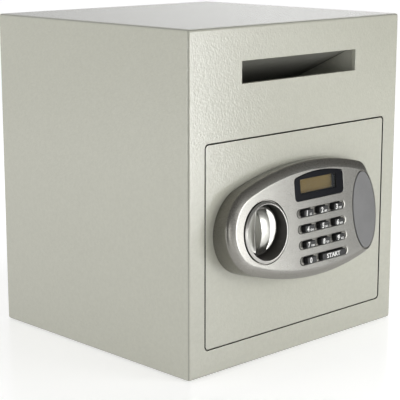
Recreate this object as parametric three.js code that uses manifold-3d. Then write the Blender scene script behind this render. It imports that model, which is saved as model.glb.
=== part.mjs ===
// Drop safe with a deposit slot, an electronic lock and a hinged door.
// Units are millimetres. X runs to the right, Y to the back and Z up.
// The origin is the middle of the underside of the steel cabinet.

import * as THREE from 'three';
import { mergeVertices } from 'three/addons/utils/BufferGeometryUtils.js';
import Module from 'manifold-3d';

const wasm = await Module();
wasm.setup();

// Cabinet
const width = 350;
const depth = 330;
const height = 380;
const wall = 2.5;
const faceWall = 3;
const edgeRadius = 4.5;
const endRadius = 4;
const panReturn = 14;
const seam = 0.3;
const anchorHoleRadius = 5;
const anchorSpacing = 200;
const matThickness = 2;
const matMargin = 6;

// Door opening in the front frame, seen from the front
const leftStile = 24;
const rightStile = 24;
const openingHeight = 229.2;
const openingBase = 28.8;
const openingCorner = 5.5;
const jambWall = 2;
const jambDepth = 20;

// Door leaf
const doorPlate = 4;
const doorGap = 1.5;
const hingeGap = 2.2;
const doorCorner = 4;
const fit = 0.3;

// Door pivot: how far the pin lies in from the door edge and behind its face
const pivotInset = 22;
const pivotDepth = 9;
const pivotPinRadius = 3;
const pivotHeadRadius = 5;
const pivotHeadHeight = 3;
const pivotEngagement = 11;
const hingeBlockWidth = 18;
const hingeBlockHeight = 14;
const hingeBlockThickness = 10.2;
const hingeBlockDrop = 2.5;

// Deposit slot and the chute behind it
const slotWidth = 190;
const slotHeight = 24.5;
const slotDrop = 38;
const slotReturn = 5.8;
const slotReturnWall = 2;
const chuteSheet = 1.5;
const deflectorRun = 108;
const deflectorDrop = 51.7;
const deflectorFlange = 12;
const deflectorLip = 10;
const rampRun = 52;
const rampDrop = 22;
const cheekRun = 92;
const cheekDepth = 34;

// Lock housing: a prism that leans up from the door by its tilt
const lockHeight = 156;
const lockTilt = THREE.MathUtils.degToRad(6.5);
const housingDepth = 26;
const housingWall = 2.5;
const housingFace = 3;
const housingFillet = 6;
const noseX = -89;
const noseRadius = 50;
const crownX = 3;
const crownRadius = 322;
const crownHeight = 66;
const tailX = 112;
const tailRadius = 90;
const tailCorner = 18;
const bossRadius = 4.5;
const housingScrewX = -42;
const housingScrewReach = 42;
const housingScrewLength = 14;

// Knob, its cup and the spindle
const knobX = -82;
const cupRadius = 30;
const cupWall = 1.3;
const cupRingRadius = 35.2;
const cupRingRise = 2.7;
const cupFloor = 7;
const cupFloorWall = 1.5;
const knobRadius = 28;
const knobRimHeight = 17;
const knobThickness = 5.5;
const knobRimWidth = 2.6;
const knobRimBevel = 0.9;
const knobDishInset = 4.2;
const knobDish = 2.2;
const knobDomeRadius = 38.8;
const knobCrest = 26;
const gripWidth = 14.4;
const knobHubRadius = 7.5;
const spindleRadius = 4;
const spindleGrip = 6;

// Display
const bezelX = 9.8;
const bezelWidth = 83;
const bezelBase = 22.9;
const bezelShoulder = 27;
const bezelArch = 4;
const bezelCorner = 5;
const bezelThickness = 3.4;
const bezelProud = 0.4;
const displayX = 8;
const displayBase = 30.4;
const displayWidth = 61;
const displayHeight = 16.4;
const displayCorner = 1;
const tunnelDepth = 7;
const tunnelWall = 1.6;
const windowThickness = 1;
const windowSet = 1.2;
const lcdMargin = 2;
const lcdThickness = 2;

// Keypad
const keyColumns = 3;
const keyRows = 4;
const keyX = -14.5;
const keyPitch = 25.5;
const keyRowTop = 8.8;
const keyRowPitch = 17.95;
const keyWidth = 17;
const keyHeight = 7.4;
const keyCorner = 1.6;
const keyProud = 5;
const keyClearance = 0.4;
const keyFlange = 1.3;
const keyFlangeThickness = 1.4;
const keyStem = 4;
const keyTravel = 1.2;
const pillMargin = 6;
const pillHeight = 9.6;
const pillDepth = 1.5;
const boardDepth = 13;
const boardThickness = 1.6;
const boardMargin = 4;
const boardCorner = 2;

// Oval cover and the override lock behind it
const ovalX = 86.5;
const ovalRise = -3;
const ovalHalfWidth = 20;
const ovalHalfHeight = 45.5;
const ovalGap = 0.6;
const ovalThickness = 2.4;
const ovalLedge = 2.5;
const ovalPad = 3;
const cylinderRadius = 9.5;
const cylinderFront = 19;
const cylinderBack = 20;
const plugRadius = 6;
const keywayWidth = 1.8;
const keywayHeight = 7.5;
const keywayDepth = 14;
const tailLength = 15;
const tailWidth = 5;
const tailThickness = 2;

// Bolt work behind the door plate
const boltRadius = 7;
const boltDepth = 13.5;
const boltTravel = 16;
const boltTip = 4.5;
const boltLength = 33.2;
const boltNose = 1.5;
const boltSpacing = 80;
const boltClearance = 0.4;
const barThickness = 3;
const barReach = 25;
const barOverhang = 12;
const camThickness = 3.5;
const camDepth = 5.5;
const camHubRadius = 8;
const camPinRadius = 3;
const camPinBoss = 5.5;
const camSlotPlay = 0.7;
const guideThickness = 3;
const guideFoot = 11;
const guideFootThickness = 1.5;
const guideMargin = 5;

// Solenoid that holds the bolt bar
const plungerRadius = 2.5;
const plungerClearance = 0.5;
const plungerOffset = -3;
const notchWidth = 7;
const notchDepth = 6;
const solenoidWidth = 22;
const solenoidHeight = 20;
const solenoidThickness = 16;
const solenoidGap = 6;
const plungerHidden = 12;

// Inner cover, batteries and reset button
const coverInset = 14.5;
const coverMargin = 17.4;
const coverReach = 26.5;
const coverDepth = 26;
const coverSheet = 1.5;
const coverCorner = 6;
const screwInset = 10;
const screwRadius = 2;
const screwHeadRadius = 4;
const screwHeadHeight = 2.2;
const holderX = 3;
const holderZ = 94;
const holderWall = 1.6;
const holderDepth = 23;
const cellRadius = 7.1;
const cellLength = 49;
const cellPitch = 15.2;
const cellCount = 4;
const cellNubRadius = 2.7;
const cellNubLength = 1.2;
const hatchOverlap = 4;
const hatchThickness = 2;
const hatchLip = 1.6;
const hatchTab = 5;
const resetX = 65;
const resetZ = 98;
const resetRadius = 3;
const resetFlangeRadius = 4.6;
const resetProud = 2.2;
const resetTravel = 1.5;
const resetSwitchSize = 12;
const resetSwitchDepth = 17;

// Facets on round shapes: sides of a rod, and steps along an outline's arc
const knobSides = 40;
const boltSides = 24;
const rodSides = 20;
const pinSides = 16;
const screwSides = 12;
const domeSteps = 6;
const filletSteps = 3;
const ovalSteps = 14;
const crownSteps = 7;
const roomSteps = 5;
const bendSteps = 3;
const cornerSteps = 2;

// A cutter runs this far past the face that it opens, and a slot's round ends stop this short of meeting
const past = 1;
const sliver = 0.01;

// Colours and finishes
const powderGrey = new THREE.MeshStandardMaterial({ color: 0xc8c8be, roughness: 0.55, metalness: 0.1 });
const zincSteel = new THREE.MeshStandardMaterial({ color: 0x9a9c9e, roughness: 0.4, metalness: 0.9 });
const silverPlastic = new THREE.MeshStandardMaterial({ color: 0xb4b3ae, roughness: 0.35, metalness: 0.6 });
const brightChrome = new THREE.MeshStandardMaterial({ color: 0xe6e6e2, roughness: 0.12, metalness: 1 });
const darkPlastic = new THREE.MeshStandardMaterial({ color: 0x3a3937, roughness: 0.5, metalness: 0 });
const blackPlastic = new THREE.MeshStandardMaterial({ color: 0x14161b, roughness: 0.3, metalness: 0 });
const blackRubber = new THREE.MeshStandardMaterial({ color: 0x1b1b1c, roughness: 0.6, metalness: 0 });
const amberGlass = new THREE.MeshStandardMaterial({ color: 0x857850, roughness: 0.3, metalness: 0 });
const clearPlastic = new THREE.MeshStandardMaterial({ color: 0xd8dcdc, roughness: 0.1, metalness: 0 });
const coverGrey = new THREE.MeshStandardMaterial({ color: 0x8b8b8d, roughness: 0.55, metalness: 0.2 });
const boardGreen = new THREE.MeshStandardMaterial({ color: 0x1f5a34, roughness: 0.5, metalness: 0 });
const brass = new THREE.MeshStandardMaterial({ color: 0xb89552, roughness: 0.3, metalness: 1 });
const greyFelt = new THREE.MeshStandardMaterial({ color: 0x4c4d50, roughness: 0.95, metalness: 0 });
const redPlastic = new THREE.MeshStandardMaterial({ color: 0xb3241e, roughness: 0.4, metalness: 0 });
const cellJacket = new THREE.MeshStandardMaterial({ color: 0x2c3e63, roughness: 0.35, metalness: 0.3 });

// Turning a closed mesh into a solid, and back
function solid(geometry) {
  const bare = geometry.index ? geometry.toNonIndexed() : geometry.clone();
  bare.deleteAttribute('normal');
  bare.deleteAttribute('uv');
  const merged = mergeVertices(bare, 1e-4);
  const index = merged.index.array;
  const kept = [];
  for (let i = 0; i < index.length; i += 3) {
    const [a, b, c] = [index[i], index[i + 1], index[i + 2]];
    if (a !== b && b !== c && c !== a) {
      kept.push(a, b, c);
    }
  }
  return new wasm.Manifold(new wasm.Mesh({
    numProp: 3,
    vertProperties: new Float32Array(merged.attributes.position.array),
    triVerts: new Uint32Array(kept),
  }));
}

function geometryOf(body) {
  const mesh = body.getMesh();
  const geometry = new THREE.BufferGeometry();
  geometry.setAttribute('position', new THREE.BufferAttribute(mesh.vertProperties, 3));
  geometry.setIndex(new THREE.BufferAttribute(mesh.triVerts, 1));
  const flat = geometry.toNonIndexed();
  flat.computeVertexNormals();
  return flat;
}

function join(first, ...others) {
  return others.reduce((sum, other) => sum.add(other), first);
}

function cut(first, ...others) {
  return others.reduce((rest, other) => rest.subtract(other), first);
}

// Outlines
function roundedRect(x, y, w, h, r) {
  const shape = new THREE.Shape();
  shape.absarc(x + w / 2 - r, y + h / 2 - r, r, 0, Math.PI / 2);
  shape.absarc(x - w / 2 + r, y + h / 2 - r, r, Math.PI / 2, Math.PI);
  shape.absarc(x - w / 2 + r, y - h / 2 + r, r, Math.PI, Math.PI * 1.5);
  shape.absarc(x + w / 2 - r, y - h / 2 + r, r, Math.PI * 1.5, Math.PI * 2);
  return shape;
}

function ellipse(x, y, a, b) {
  const shape = new THREE.Shape();
  shape.absellipse(x, y, a, b, 0, Math.PI * 2, false, 0);
  return shape;
}

// Solids from outlines: a plate spans low to high along its own Z
function plate(shape, low, high, segments = bendSteps) {
  const geometry = new THREE.ExtrudeGeometry(shape, {
    depth: high - low,
    bevelEnabled: false,
    curveSegments: segments,
  });
  geometry.translate(0, 0, low);
  return solid(geometry);
}

function softPlate(shape, low, high, radius, steps, segments) {
  const geometry = new THREE.ExtrudeGeometry(shape, {
    depth: high - low - 2 * radius,
    bevelThickness: radius,
    bevelSize: radius,
    bevelOffset: -radius,
    bevelSegments: steps,
    curveSegments: segments,
  });
  geometry.translate(0, 0, low + radius);
  return solid(geometry);
}

function box(x0, x1, y0, y1, z0, z1) {
  const geometry = new THREE.BoxGeometry(x1 - x0, y1 - y0, z1 - z0);
  geometry.translate((x0 + x1) / 2, (y0 + y1) / 2, (z0 + z1) / 2);
  return solid(geometry);
}

// A rod runs along its own Z, X or Y between two places
function rodZ(x, y, radius, low, high, sides = rodSides) {
  const geometry = new THREE.CylinderGeometry(radius, radius, high - low, sides);
  geometry.rotateX(Math.PI / 2);
  geometry.translate(x, y, (low + high) / 2);
  return solid(geometry);
}

function rodX(y, z, radius, low, high, sides = rodSides) {
  const geometry = new THREE.CylinderGeometry(radius, radius, high - low, sides);
  geometry.rotateZ(Math.PI / 2);
  geometry.translate((low + high) / 2, y, z);
  return solid(geometry);
}

function rodY(x, z, radius, low, high, sides = rodSides) {
  const geometry = new THREE.CylinderGeometry(radius, radius, high - low, sides);
  geometry.translate(x, (low + high) / 2, z);
  return solid(geometry);
}

// A sheet folded along a line of points, as a plate across X in Y and Z
const acrossX = new THREE.Matrix4().makeBasis(
  new THREE.Vector3(0, 1, 0),
  new THREE.Vector3(0, 0, 1),
  new THREE.Vector3(1, 0, 0),
);

function sideProfile(points, left, right) {
  const shape = new THREE.Shape(points.map(([y, z]) => new THREE.Vector2(y, z)));
  const geometry = new THREE.ExtrudeGeometry(shape, { depth: right - left, bevelEnabled: false });
  geometry.translate(0, 0, left);
  geometry.applyMatrix4(acrossX);
  return solid(geometry);
}

// The safe, and the frames that its pieces are drawn in
const safe = new THREE.Group();
const atFront = new THREE.Group();
atFront.position.y = -depth / 2;
safe.add(atFront);

// On the door, X runs to the right, Y up and Z out of the front face
const onDoor = new THREE.Group();
onDoor.rotation.x = Math.PI / 2;
atFront.add(onDoor);

// On the lock, Z is square to its tilted face
const onLock = new THREE.Group();
onLock.position.z = lockHeight;
onLock.rotation.x = Math.PI / 2 - lockTilt;
atFront.add(onLock);

function place(name, body, material, frame) {
  const mesh = new THREE.Mesh(geometryOf(body), material);
  mesh.name = name;
  frame.add(mesh);
  return mesh;
}

// Steel cabinet: a wrapped tube, a welded front frame and a welded back
const openingWidth = width - leftStile - rightStile;
const openingLeft = -width / 2 + leftStile;
const openingRight = openingLeft + openingWidth;
const openingTop = openingBase + openingHeight;
const openingX = (openingLeft + openingRight) / 2;
const openingZ = (openingBase + openingTop) / 2;

const outside = () => softPlate(
  roundedRect(0, height / 2, width, height, edgeRadius), -depth, 0, endRadius, cornerSteps, cornerSteps,
);
const inside = (low, high) => plate(
  roundedRect(0, height / 2, width - 2 * wall, height - 2 * wall, edgeRadius - wall), low, high, cornerSteps,
);
const slab = (low, high) => box(-width, width, -height, 2 * height, low, high);

function bodyShell() {
  const tube = outside().intersect(slab(-depth + panReturn, -panReturn));
  const hollow = cut(tube, inside(-depth, 0));
  const holes = [-1, 1].map((side) => rodY(
    side * anchorSpacing / 2, -depth / 2, anchorHoleRadius, -wall, 2 * wall,
  ));
  return cut(hollow, ...holes);
}
place('body_shell', bodyShell(), powderGrey, onDoor);

function backPlate() {
  const pan = outside().intersect(slab(-depth, -depth + panReturn - seam));
  const hollow = cut(pan, inside(-depth + wall, 0));
  const holes = [-1, 1].map((side) => rodZ(
    side * anchorSpacing / 2, height / 2, anchorHoleRadius, -depth - wall, -depth + 2 * wall,
  ));
  return cut(hollow, ...holes);
}
place('back_plate', backPlate(), powderGrey, onDoor);

const slotBase = height - slotDrop - slotHeight;

function slotOutline(margin) {
  const shape = new THREE.Shape();
  shape.moveTo(-slotWidth / 2 - margin, slotBase - margin);
  shape.lineTo(slotWidth / 2 + margin, slotBase - margin);
  shape.lineTo(slotWidth / 2 + margin, slotBase + slotHeight + margin);
  shape.lineTo(-slotWidth / 2 - margin, slotBase + slotHeight + margin);
  return shape;
}

function frontFrame() {
  const pan = outside().intersect(slab(-panReturn + seam, 0));
  const hollow = cut(pan, inside(-depth, -faceWall));
  const lining = plate(slotOutline(slotReturnWall), -slotReturn, -faceWall / 2);
  const opening = roundedRect(openingX, openingZ, openingWidth, openingHeight, openingCorner);
  return cut(
    join(hollow, lining),
    plate(slotOutline(0), -panReturn, faceWall),
    plate(opening, -panReturn, faceWall, cornerSteps),
  );
}
place('front_frame', frontFrame(), powderGrey, onDoor);

// Jamb behind the frame, with the bolt holes and the pivot holes
const doorRight = openingRight - hingeGap;
const doorLeft = openingLeft + doorGap;
const doorBase = openingBase + doorGap;
const doorTop = openingTop - doorGap;
const pivotX = doorRight - pivotInset;
const coverLeft = doorLeft + coverInset;
const coverRight = ovalX + coverReach;
const coverBase = doorBase + coverMargin;
const coverTop = doorTop - coverMargin;
const boltHeights = [lockHeight - boltSpacing / 2, lockHeight + boltSpacing / 2];

function doorJamb() {
  const front = -faceWall - fit;
  const ring = roundedRect(
    openingX, openingZ, openingWidth + 2 * jambWall, openingHeight + 2 * jambWall,
    openingCorner + jambWall,
  );
  const opening = roundedRect(openingX, openingZ, openingWidth, openingHeight, openingCorner);
  const boltHoles = boltHeights.map((z) => rodX(
    z, -boltDepth, boltRadius + 2 * boltClearance, openingLeft - 2 * jambWall, openingLeft + jambWall,
  ));
  const pivotHoles = [openingBase, openingTop].map((z) => rodY(
    pivotX, -pivotDepth, pivotPinRadius + fit, z - 2 * jambWall, z + 2 * jambWall,
  ));
  return cut(
    plate(ring, front - jambDepth, front, cornerSteps),
    plate(opening, -2 * jambDepth, 0, cornerSteps),
    ...boltHoles,
    ...pivotHoles,
  );
}
place('door_jamb', doorJamb(), powderGrey, onDoor);

// Pivot pins: a head outside the jamb and a shank down into the hinge block
function pivotPin(side) {
  const jambFace = side > 0 ? openingTop + jambWall : openingBase - jambWall;
  const blockFace = side > 0 ? doorTop - hingeBlockDrop : doorBase + hingeBlockDrop;
  const seat = jambFace + side * fit;
  const head = seat + side * pivotHeadHeight;
  const tip = blockFace - side * pivotEngagement;
  return join(
    rodY(pivotX, -pivotDepth, pivotHeadRadius, Math.min(seat, head), Math.max(seat, head)),
    rodY(pivotX, -pivotDepth, pivotPinRadius, Math.min(tip, head), Math.max(tip, head)),
  );
}
place('hinge_pin_top', pivotPin(1), zincSteel, onDoor);
place('hinge_pin_bottom', pivotPin(-1), zincSteel, onDoor);

// Chute: a folded deflector, a ramp under it and a cheek on each side
const slotTop = slotBase + slotHeight;
const chuteFront = slotReturn + fit;
const chuteHalf = slotWidth / 2 + slotReturnWall;
const deflectorStart = faceWall + fit;
const deflectorSlope = deflectorDrop / deflectorRun;
const sheetRise = chuteSheet * Math.hypot(1, deflectorSlope);
const deflectorTop = slotTop + slotReturnWall + fit + sheetRise
  + (slotReturn - deflectorStart) * deflectorSlope;

function deflectorUnderside(y) {
  return deflectorTop - sheetRise - (y - deflectorStart) * deflectorSlope;
}

function chuteDeflector() {
  const far = deflectorStart + deflectorRun;
  const low = deflectorUnderside(far);
  return sideProfile([
    [deflectorStart, deflectorUnderside(deflectorStart)],
    [far, low],
    [far, low - deflectorLip],
    [far + chuteSheet, low - deflectorLip],
    [far + chuteSheet, low + sheetRise - chuteSheet * deflectorSlope],
    [deflectorStart + chuteSheet, deflectorTop - chuteSheet * deflectorSlope],
    [deflectorStart + chuteSheet, deflectorTop + deflectorFlange],
    [deflectorStart, deflectorTop + deflectorFlange],
  ], -chuteHalf - chuteSheet, chuteHalf + chuteSheet);
}
place('chute_deflector', chuteDeflector(), powderGrey, atFront);

function chuteCheek(left) {
  const far = chuteFront + cheekRun;
  return sideProfile([
    [chuteFront, deflectorUnderside(chuteFront) - fit],
    [chuteFront, slotBase - slotReturnWall - 2 * chuteSheet],
    [far, deflectorUnderside(far) - cheekDepth],
    [far, deflectorUnderside(far) - fit],
  ], left, left + chuteSheet);
}
place('chute_cheek_left', chuteCheek(-chuteHalf - chuteSheet), powderGrey, atFront);
place('chute_cheek_right', chuteCheek(chuteHalf), powderGrey, atFront);

function chuteRamp() {
  const start = slotBase - slotReturnWall;
  return sideProfile([
    [chuteFront, start],
    [chuteFront, start - chuteSheet],
    [chuteFront + rampRun, start - rampDrop - chuteSheet],
    [chuteFront + rampRun, start - rampDrop],
  ], -chuteHalf + fit, chuteHalf - fit);
}
place('chute_ramp', chuteRamp(), powderGrey, atFront);

// Felt mat on the floor, clear of the anchor holes
function floorMat() {
  const outline = roundedRect(
    0, 0, width - 2 * wall - matMargin, depth - 2 * panReturn - matMargin, matMargin,
  );
  const holes = [-1, 1].map((side) => rodZ(
    side * anchorSpacing / 2, 0, 2 * anchorHoleRadius, 0, 2 * wall + matThickness,
  ));
  return cut(plate(outline, wall + fit, wall + fit + matThickness), ...holes);
}
place('floor_mat', floorMat(), greyFelt, safe);

// Door leaf, drilled for the spindle, the override lock and the housing screws
const screwPlaces = [-1, 1].map((side) => [housingScrewX, lockHeight + side * housingScrewReach]);
const plugX = ovalX;

function doorLeaf() {
  const outline = roundedRect(
    (doorLeft + doorRight) / 2, (doorBase + doorTop) / 2,
    doorRight - doorLeft, doorTop - doorBase, doorCorner,
  );
  return cut(
    plate(outline, -doorPlate, 0, cornerSteps),
    rodZ(knobX, lockHeight, spindleRadius + 2 * fit, -2 * doorPlate, doorPlate),
    rodZ(plugX, lockHeight, cylinderRadius + fit, -2 * doorPlate, doorPlate),
    ...screwPlaces.map(([x, z]) => rodZ(x, z, screwRadius + fit, -2 * doorPlate, doorPlate, screwSides)),
  );
}
place('door_plate', doorLeaf(), powderGrey, onDoor);

const behindDoor = -doorPlate - fit;

function hingeBlock(side) {
  const outer = side > 0 ? doorTop - hingeBlockDrop : doorBase + hingeBlockDrop;
  const inner = outer - side * hingeBlockHeight;
  return cut(
    box(
      pivotX - hingeBlockWidth / 2, pivotX + hingeBlockWidth / 2,
      Math.min(outer, inner), Math.max(outer, inner), behindDoor - hingeBlockThickness, behindDoor,
    ),
    rodY(
      pivotX, -pivotDepth, pivotPinRadius + fit, Math.min(outer, inner) - past, Math.max(outer, inner) + past,
    ),
  );
}
place('hinge_block_top', hingeBlock(1), zincSteel, onDoor);
place('hinge_block_bottom', hingeBlock(-1), zincSteel, onDoor);

// The right-hand point where two circles cross
function crossing(c1, r1, c2, r2) {
  const gap = Math.hypot(c2.x - c1.x, c2.y - c1.y);
  const along = (r1 * r1 - r2 * r2 + gap * gap) / (2 * gap);
  const off = Math.sqrt(r1 * r1 - along * along);
  const ux = (c2.x - c1.x) / gap;
  const uy = (c2.y - c1.y) / gap;
  const first = new THREE.Vector2(c1.x + along * ux - off * uy, c1.y + along * uy + off * ux);
  const second = new THREE.Vector2(c1.x + along * ux + off * uy, c1.y + along * uy - off * ux);
  return first.x > second.x ? first : second;
}

// Outline of the lock housing: nose, long crown arcs and a rounded tail
function housingOutline(inset) {
  const nose = new THREE.Vector2(noseX, 0);
  const crown = new THREE.Vector2(crownX, crownHeight - crownRadius);
  const tail = new THREE.Vector2(tailX - tailRadius, 0);
  const corner = crossing(tail, tailRadius - tailCorner, crown, crownRadius - tailCorner);
  const toNose = Math.atan2(nose.y - crown.y, nose.x - crown.x);
  const toCorner = Math.atan2(corner.y - crown.y, corner.x - crown.x);
  const toTail = Math.atan2(corner.y - tail.y, corner.x - tail.x);
  const noseR = noseRadius - inset;
  const crownR = crownRadius - inset;
  const cornerR = tailCorner - inset;
  const tailR = tailRadius - inset;
  const shape = new THREE.Shape();
  shape.absarc(tail.x, tail.y, tailR, -toTail, toTail);
  shape.absarc(corner.x, corner.y, cornerR, toTail, toCorner);
  shape.absarc(crown.x, crown.y, crownR, toCorner, toNose);
  shape.absarc(nose.x, nose.y, noseR, toNose, 2 * Math.PI - toNose);
  shape.absarc(crown.x, -crown.y, crownR, -toNose, -toCorner);
  shape.absarc(corner.x, -corner.y, cornerR, -toCorner, -toTail);
  return shape;
}

// The door face and square-to-door rods, as seen from the tilted lock frame
function fromDoor(body) {
  return body.rotate([THREE.MathUtils.radToDeg(lockTilt), 0, 0]);
}

function doorSide() {
  return fromDoor(box(-width, width, -height, height, -depth, fit));
}

function bezelOutline(margin) {
  const left = bezelX - bezelWidth / 2 - margin;
  const right = bezelX + bezelWidth / 2 + margin;
  const base = bezelBase - margin;
  const shoulder = bezelBase + bezelShoulder + margin;
  const corner = bezelCorner;
  const half = bezelWidth / 2 + margin - corner;
  const archRadius = (half * half + bezelArch * bezelArch) / (2 * bezelArch);
  const sweep = Math.asin(half / archRadius);
  const archY = shoulder + bezelArch - archRadius;
  const shape = new THREE.Shape();
  shape.absarc(right - corner, base + corner, corner, -Math.PI / 2, 0);
  shape.absarc(right - corner, shoulder - corner, corner, 0, Math.PI / 2 - sweep);
  shape.absarc(bezelX, archY, archRadius, Math.PI / 2 - sweep, Math.PI / 2 + sweep);
  shape.absarc(left + corner, shoulder - corner, corner, Math.PI / 2 + sweep, Math.PI);
  shape.absarc(left + corner, base + corner, corner, Math.PI, Math.PI * 1.5);
  return shape;
}

const displayMiddle = displayBase + displayHeight / 2;

function displayOutline(margin) {
  return roundedRect(
    displayX, displayMiddle, displayWidth + 2 * margin, displayHeight + 2 * margin, displayCorner,
  );
}

// Key places: three to a row, and a double-width key after the zero
const keyNames = ['1', '2', '3', '4', '5', '6', '7', '8', '9', '0', 'enter'];
const keys = keyNames.map((name, count) => {
  const row = Math.floor(count / keyColumns);
  const column = count % keyColumns;
  const wide = name === 'enter';
  return {
    name: `key_${name}`,
    x: keyX + keyPitch * (wide ? column + 0.5 : column),
    y: keyRowTop - keyRowPitch * row,
    width: wide ? keyWidth + keyPitch : keyWidth,
  };
});

const ovalOutline = (margin) => ellipse(ovalX, ovalRise, ovalHalfWidth + margin, ovalHalfHeight + margin);

function lockHousing() {
  const face = housingDepth;
  const back = face - housingFace;
  const low = -housingDepth;
  const shell = cut(
    softPlate(housingOutline(0), low - housingFillet, face, housingFillet, filletSteps, crownSteps),
    plate(housingOutline(housingWall), low - housingDepth, back, roomSteps),
  );
  const ovalSeat = plate(ovalOutline(ovalPad), back - ovalPad, back + housingFace / 2, ovalSteps);
  const room = plate(housingOutline(housingWall / 2), low - housingDepth, face, roomSteps);
  const bosses = [-1, 1].map((side) => fromDoor(
    rodZ(housingScrewX, side * housingScrewReach, bossRadius, 0, 2 * face, pinSides),
  ).intersect(plate(housingOutline(housingWall), low, back + housingFace / 2, roomSteps)));
  const pills = Array.from({ length: keyRows }, (unused, row) => {
    const middle = keyX + keyPitch * (keyColumns - 1) / 2;
    const span = keyPitch * (keyColumns - 1) + keyWidth + 2 * pillMargin;
    const y = keyRowTop - keyRowPitch * row;
    return plate(
      roundedRect(middle, y, span, pillHeight, pillHeight / 2 - sliver), face - pillDepth, face + past,
    );
  });
  const keyHoles = keys.map((key) => plate(
    roundedRect(key.x, key.y, key.width + 2 * keyClearance, keyHeight + 2 * keyClearance, keyCorner),
    back - past, face, 1,
  ));
  return cut(
    join(shell, ovalSeat.intersect(room), ...bosses),
    doorSide(),
    fromDoor(rodZ(knobX, 0, cupRadius + cupWall + fit, 0, 2 * face, knobSides)),
    plate(bezelOutline(fit), back - past, face + past),
    plate(ovalOutline(ovalGap), face - ovalThickness - fit, face + past, ovalSteps),
    plate(ovalOutline(-ovalLedge), 0, face, ovalSteps),
    ...[-1, 1].map((side) => fromDoor(
      rodZ(housingScrewX, side * housingScrewReach, screwRadius + fit, -past, housingDepth / 2, screwSides),
    )),
    ...pills,
    ...keyHoles,
  );
}
place('lock_housing', lockHousing(), silverPlastic, onLock);

// Cup round the knob: a tube square to the door, with a raised bevelled ring on the tilted face
function knobCup() {
  const ringY = -Math.tan(lockTilt) * housingDepth;
  const ringProfile = [
    [cupRadius - cupWall, 0],
    [cupRingRadius, 0],
    [cupRadius + cupWall, cupRingRise],
    [cupRadius - cupWall, cupRingRise],
  ].map(([x, y]) => new THREE.Vector2(x, y));
  const ringGeometry = new THREE.LatheGeometry([...ringProfile, ringProfile[0]], knobSides);
  ringGeometry.rotateX(Math.PI / 2);
  ringGeometry.translate(knobX, ringY, housingDepth + fit);
  const tube = fromDoor(
    rodZ(knobX, 0, cupRadius + cupWall, cupFloor, housingDepth + cupRingRise + housingFace, knobSides),
  );
  const underRing = tube.intersect(
    box(-width, width, -height, height, -depth, housingDepth + fit + cupRingRise / 2),
  );
  return cut(
    join(solid(ringGeometry), underRing),
    fromDoor(rodZ(knobX, 0, cupRadius, cupFloor + cupFloorWall, 2 * housingDepth, knobSides)),
    fromDoor(rodZ(knobX, 0, knobHubRadius + 2 * fit, 0, housingDepth)),
  );
}
place('knob_cup', knobCup(), darkPlastic, onLock);

// Knob: a dished disc with a domed grip bar across it, and a hub for the spindle
function knob() {
  const rimBack = knobRimHeight - knobThickness;
  const dishFloor = knobRimHeight - knobDish;
  const hubBack = cupFloor + fit;
  const discProfile = [
    [0, hubBack],
    [knobHubRadius, hubBack],
    [knobHubRadius, rimBack],
    [knobRadius, rimBack],
    [knobRadius, knobRimHeight - knobRimBevel],
    [knobRadius - knobRimBevel, knobRimHeight],
    [knobRadius - knobRimWidth, knobRimHeight],
    [knobRadius - knobDishInset, dishFloor],
    [0, dishFloor],
  ].map(([x, y]) => new THREE.Vector2(x, y));
  const disc = new THREE.LatheGeometry(discProfile, knobSides);
  disc.rotateX(Math.PI / 2);
  const domeAngle = Math.asin((knobRadius - knobRimWidth / 2) / knobDomeRadius);
  const domeProfile = [new THREE.Vector2(0, dishFloor - knobThickness / 2)];
  for (let step = 0; step <= domeSteps; step += 1) {
    const angle = domeAngle * (1 - step / domeSteps);
    const radius = knobDomeRadius * Math.sin(angle);
    const rise = knobCrest - knobDomeRadius * (1 - Math.cos(angle));
    if (step === 0) {
      domeProfile.push(new THREE.Vector2(radius, dishFloor - knobThickness / 2));
    }
    domeProfile.push(new THREE.Vector2(step === domeSteps ? 0 : radius, rise));
  }
  const dome = new THREE.LatheGeometry(domeProfile, knobSides);
  dome.rotateX(Math.PI / 2);
  const bar = solid(dome).intersect(
    box(-gripWidth / 2, gripWidth / 2, -knobRadius, knobRadius, 0, 2 * knobCrest),
  );
  return cut(
    join(solid(disc), bar),
    rodZ(0, 0, spindleRadius + fit, 0, hubBack + spindleGrip, pinSides),
  ).translate([knobX, lockHeight, 0]);
}
place('knob', knob(), brightChrome, onDoor);

const camFront = -camDepth;
const camBack = camFront - camThickness;
place('knob_spindle', rodZ(
  knobX, lockHeight, spindleRadius, camBack, cupFloor + spindleGrip, pinSides,
), zincSteel, onDoor);

// Drive cam: its pin sits 45 degrees past upright and swings through a quarter turn
const pinArm = boltTravel / Math.SQRT2;
const pinOffset = boltTravel / 2;
const barFront = -boltDepth + barThickness / 2;
const barBack = barFront - barThickness;

function driveCam() {
  const shape = new THREE.Shape();
  const lean = Math.asin((camHubRadius - camPinBoss) / pinArm);
  const toPin = Math.PI / 4;
  const openAngle = Math.PI / 2 - lean;
  shape.absarc(0, 0, camHubRadius, toPin + openAngle, toPin - openAngle + 2 * Math.PI);
  shape.absarc(pinOffset, pinOffset, camPinBoss, toPin - openAngle, toPin + openAngle);
  return cut(
    join(
      plate(shape, camBack, camFront, roomSteps),
      rodZ(pinOffset, pinOffset, camPinRadius, barBack - fit, camFront - camThickness / 2, pinSides),
    ),
    rodZ(0, 0, spindleRadius + fit, camBack - past, camFront + past, pinSides),
  ).translate([knobX, lockHeight, 0]);
}
place('drive_cam', driveCam(), zincSteel, onDoor);

// Bolt bar with the two live bolts on its left edge
const boltStart = openingLeft + boltTip;
const barLeft = boltStart + boltLength + fit;
const barRight = knobX + barReach;
const barTop = boltHeights[1] + barOverhang;
const barLow = boltHeights[0] - barOverhang;

const plungerX = knobX + plungerOffset;

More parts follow.
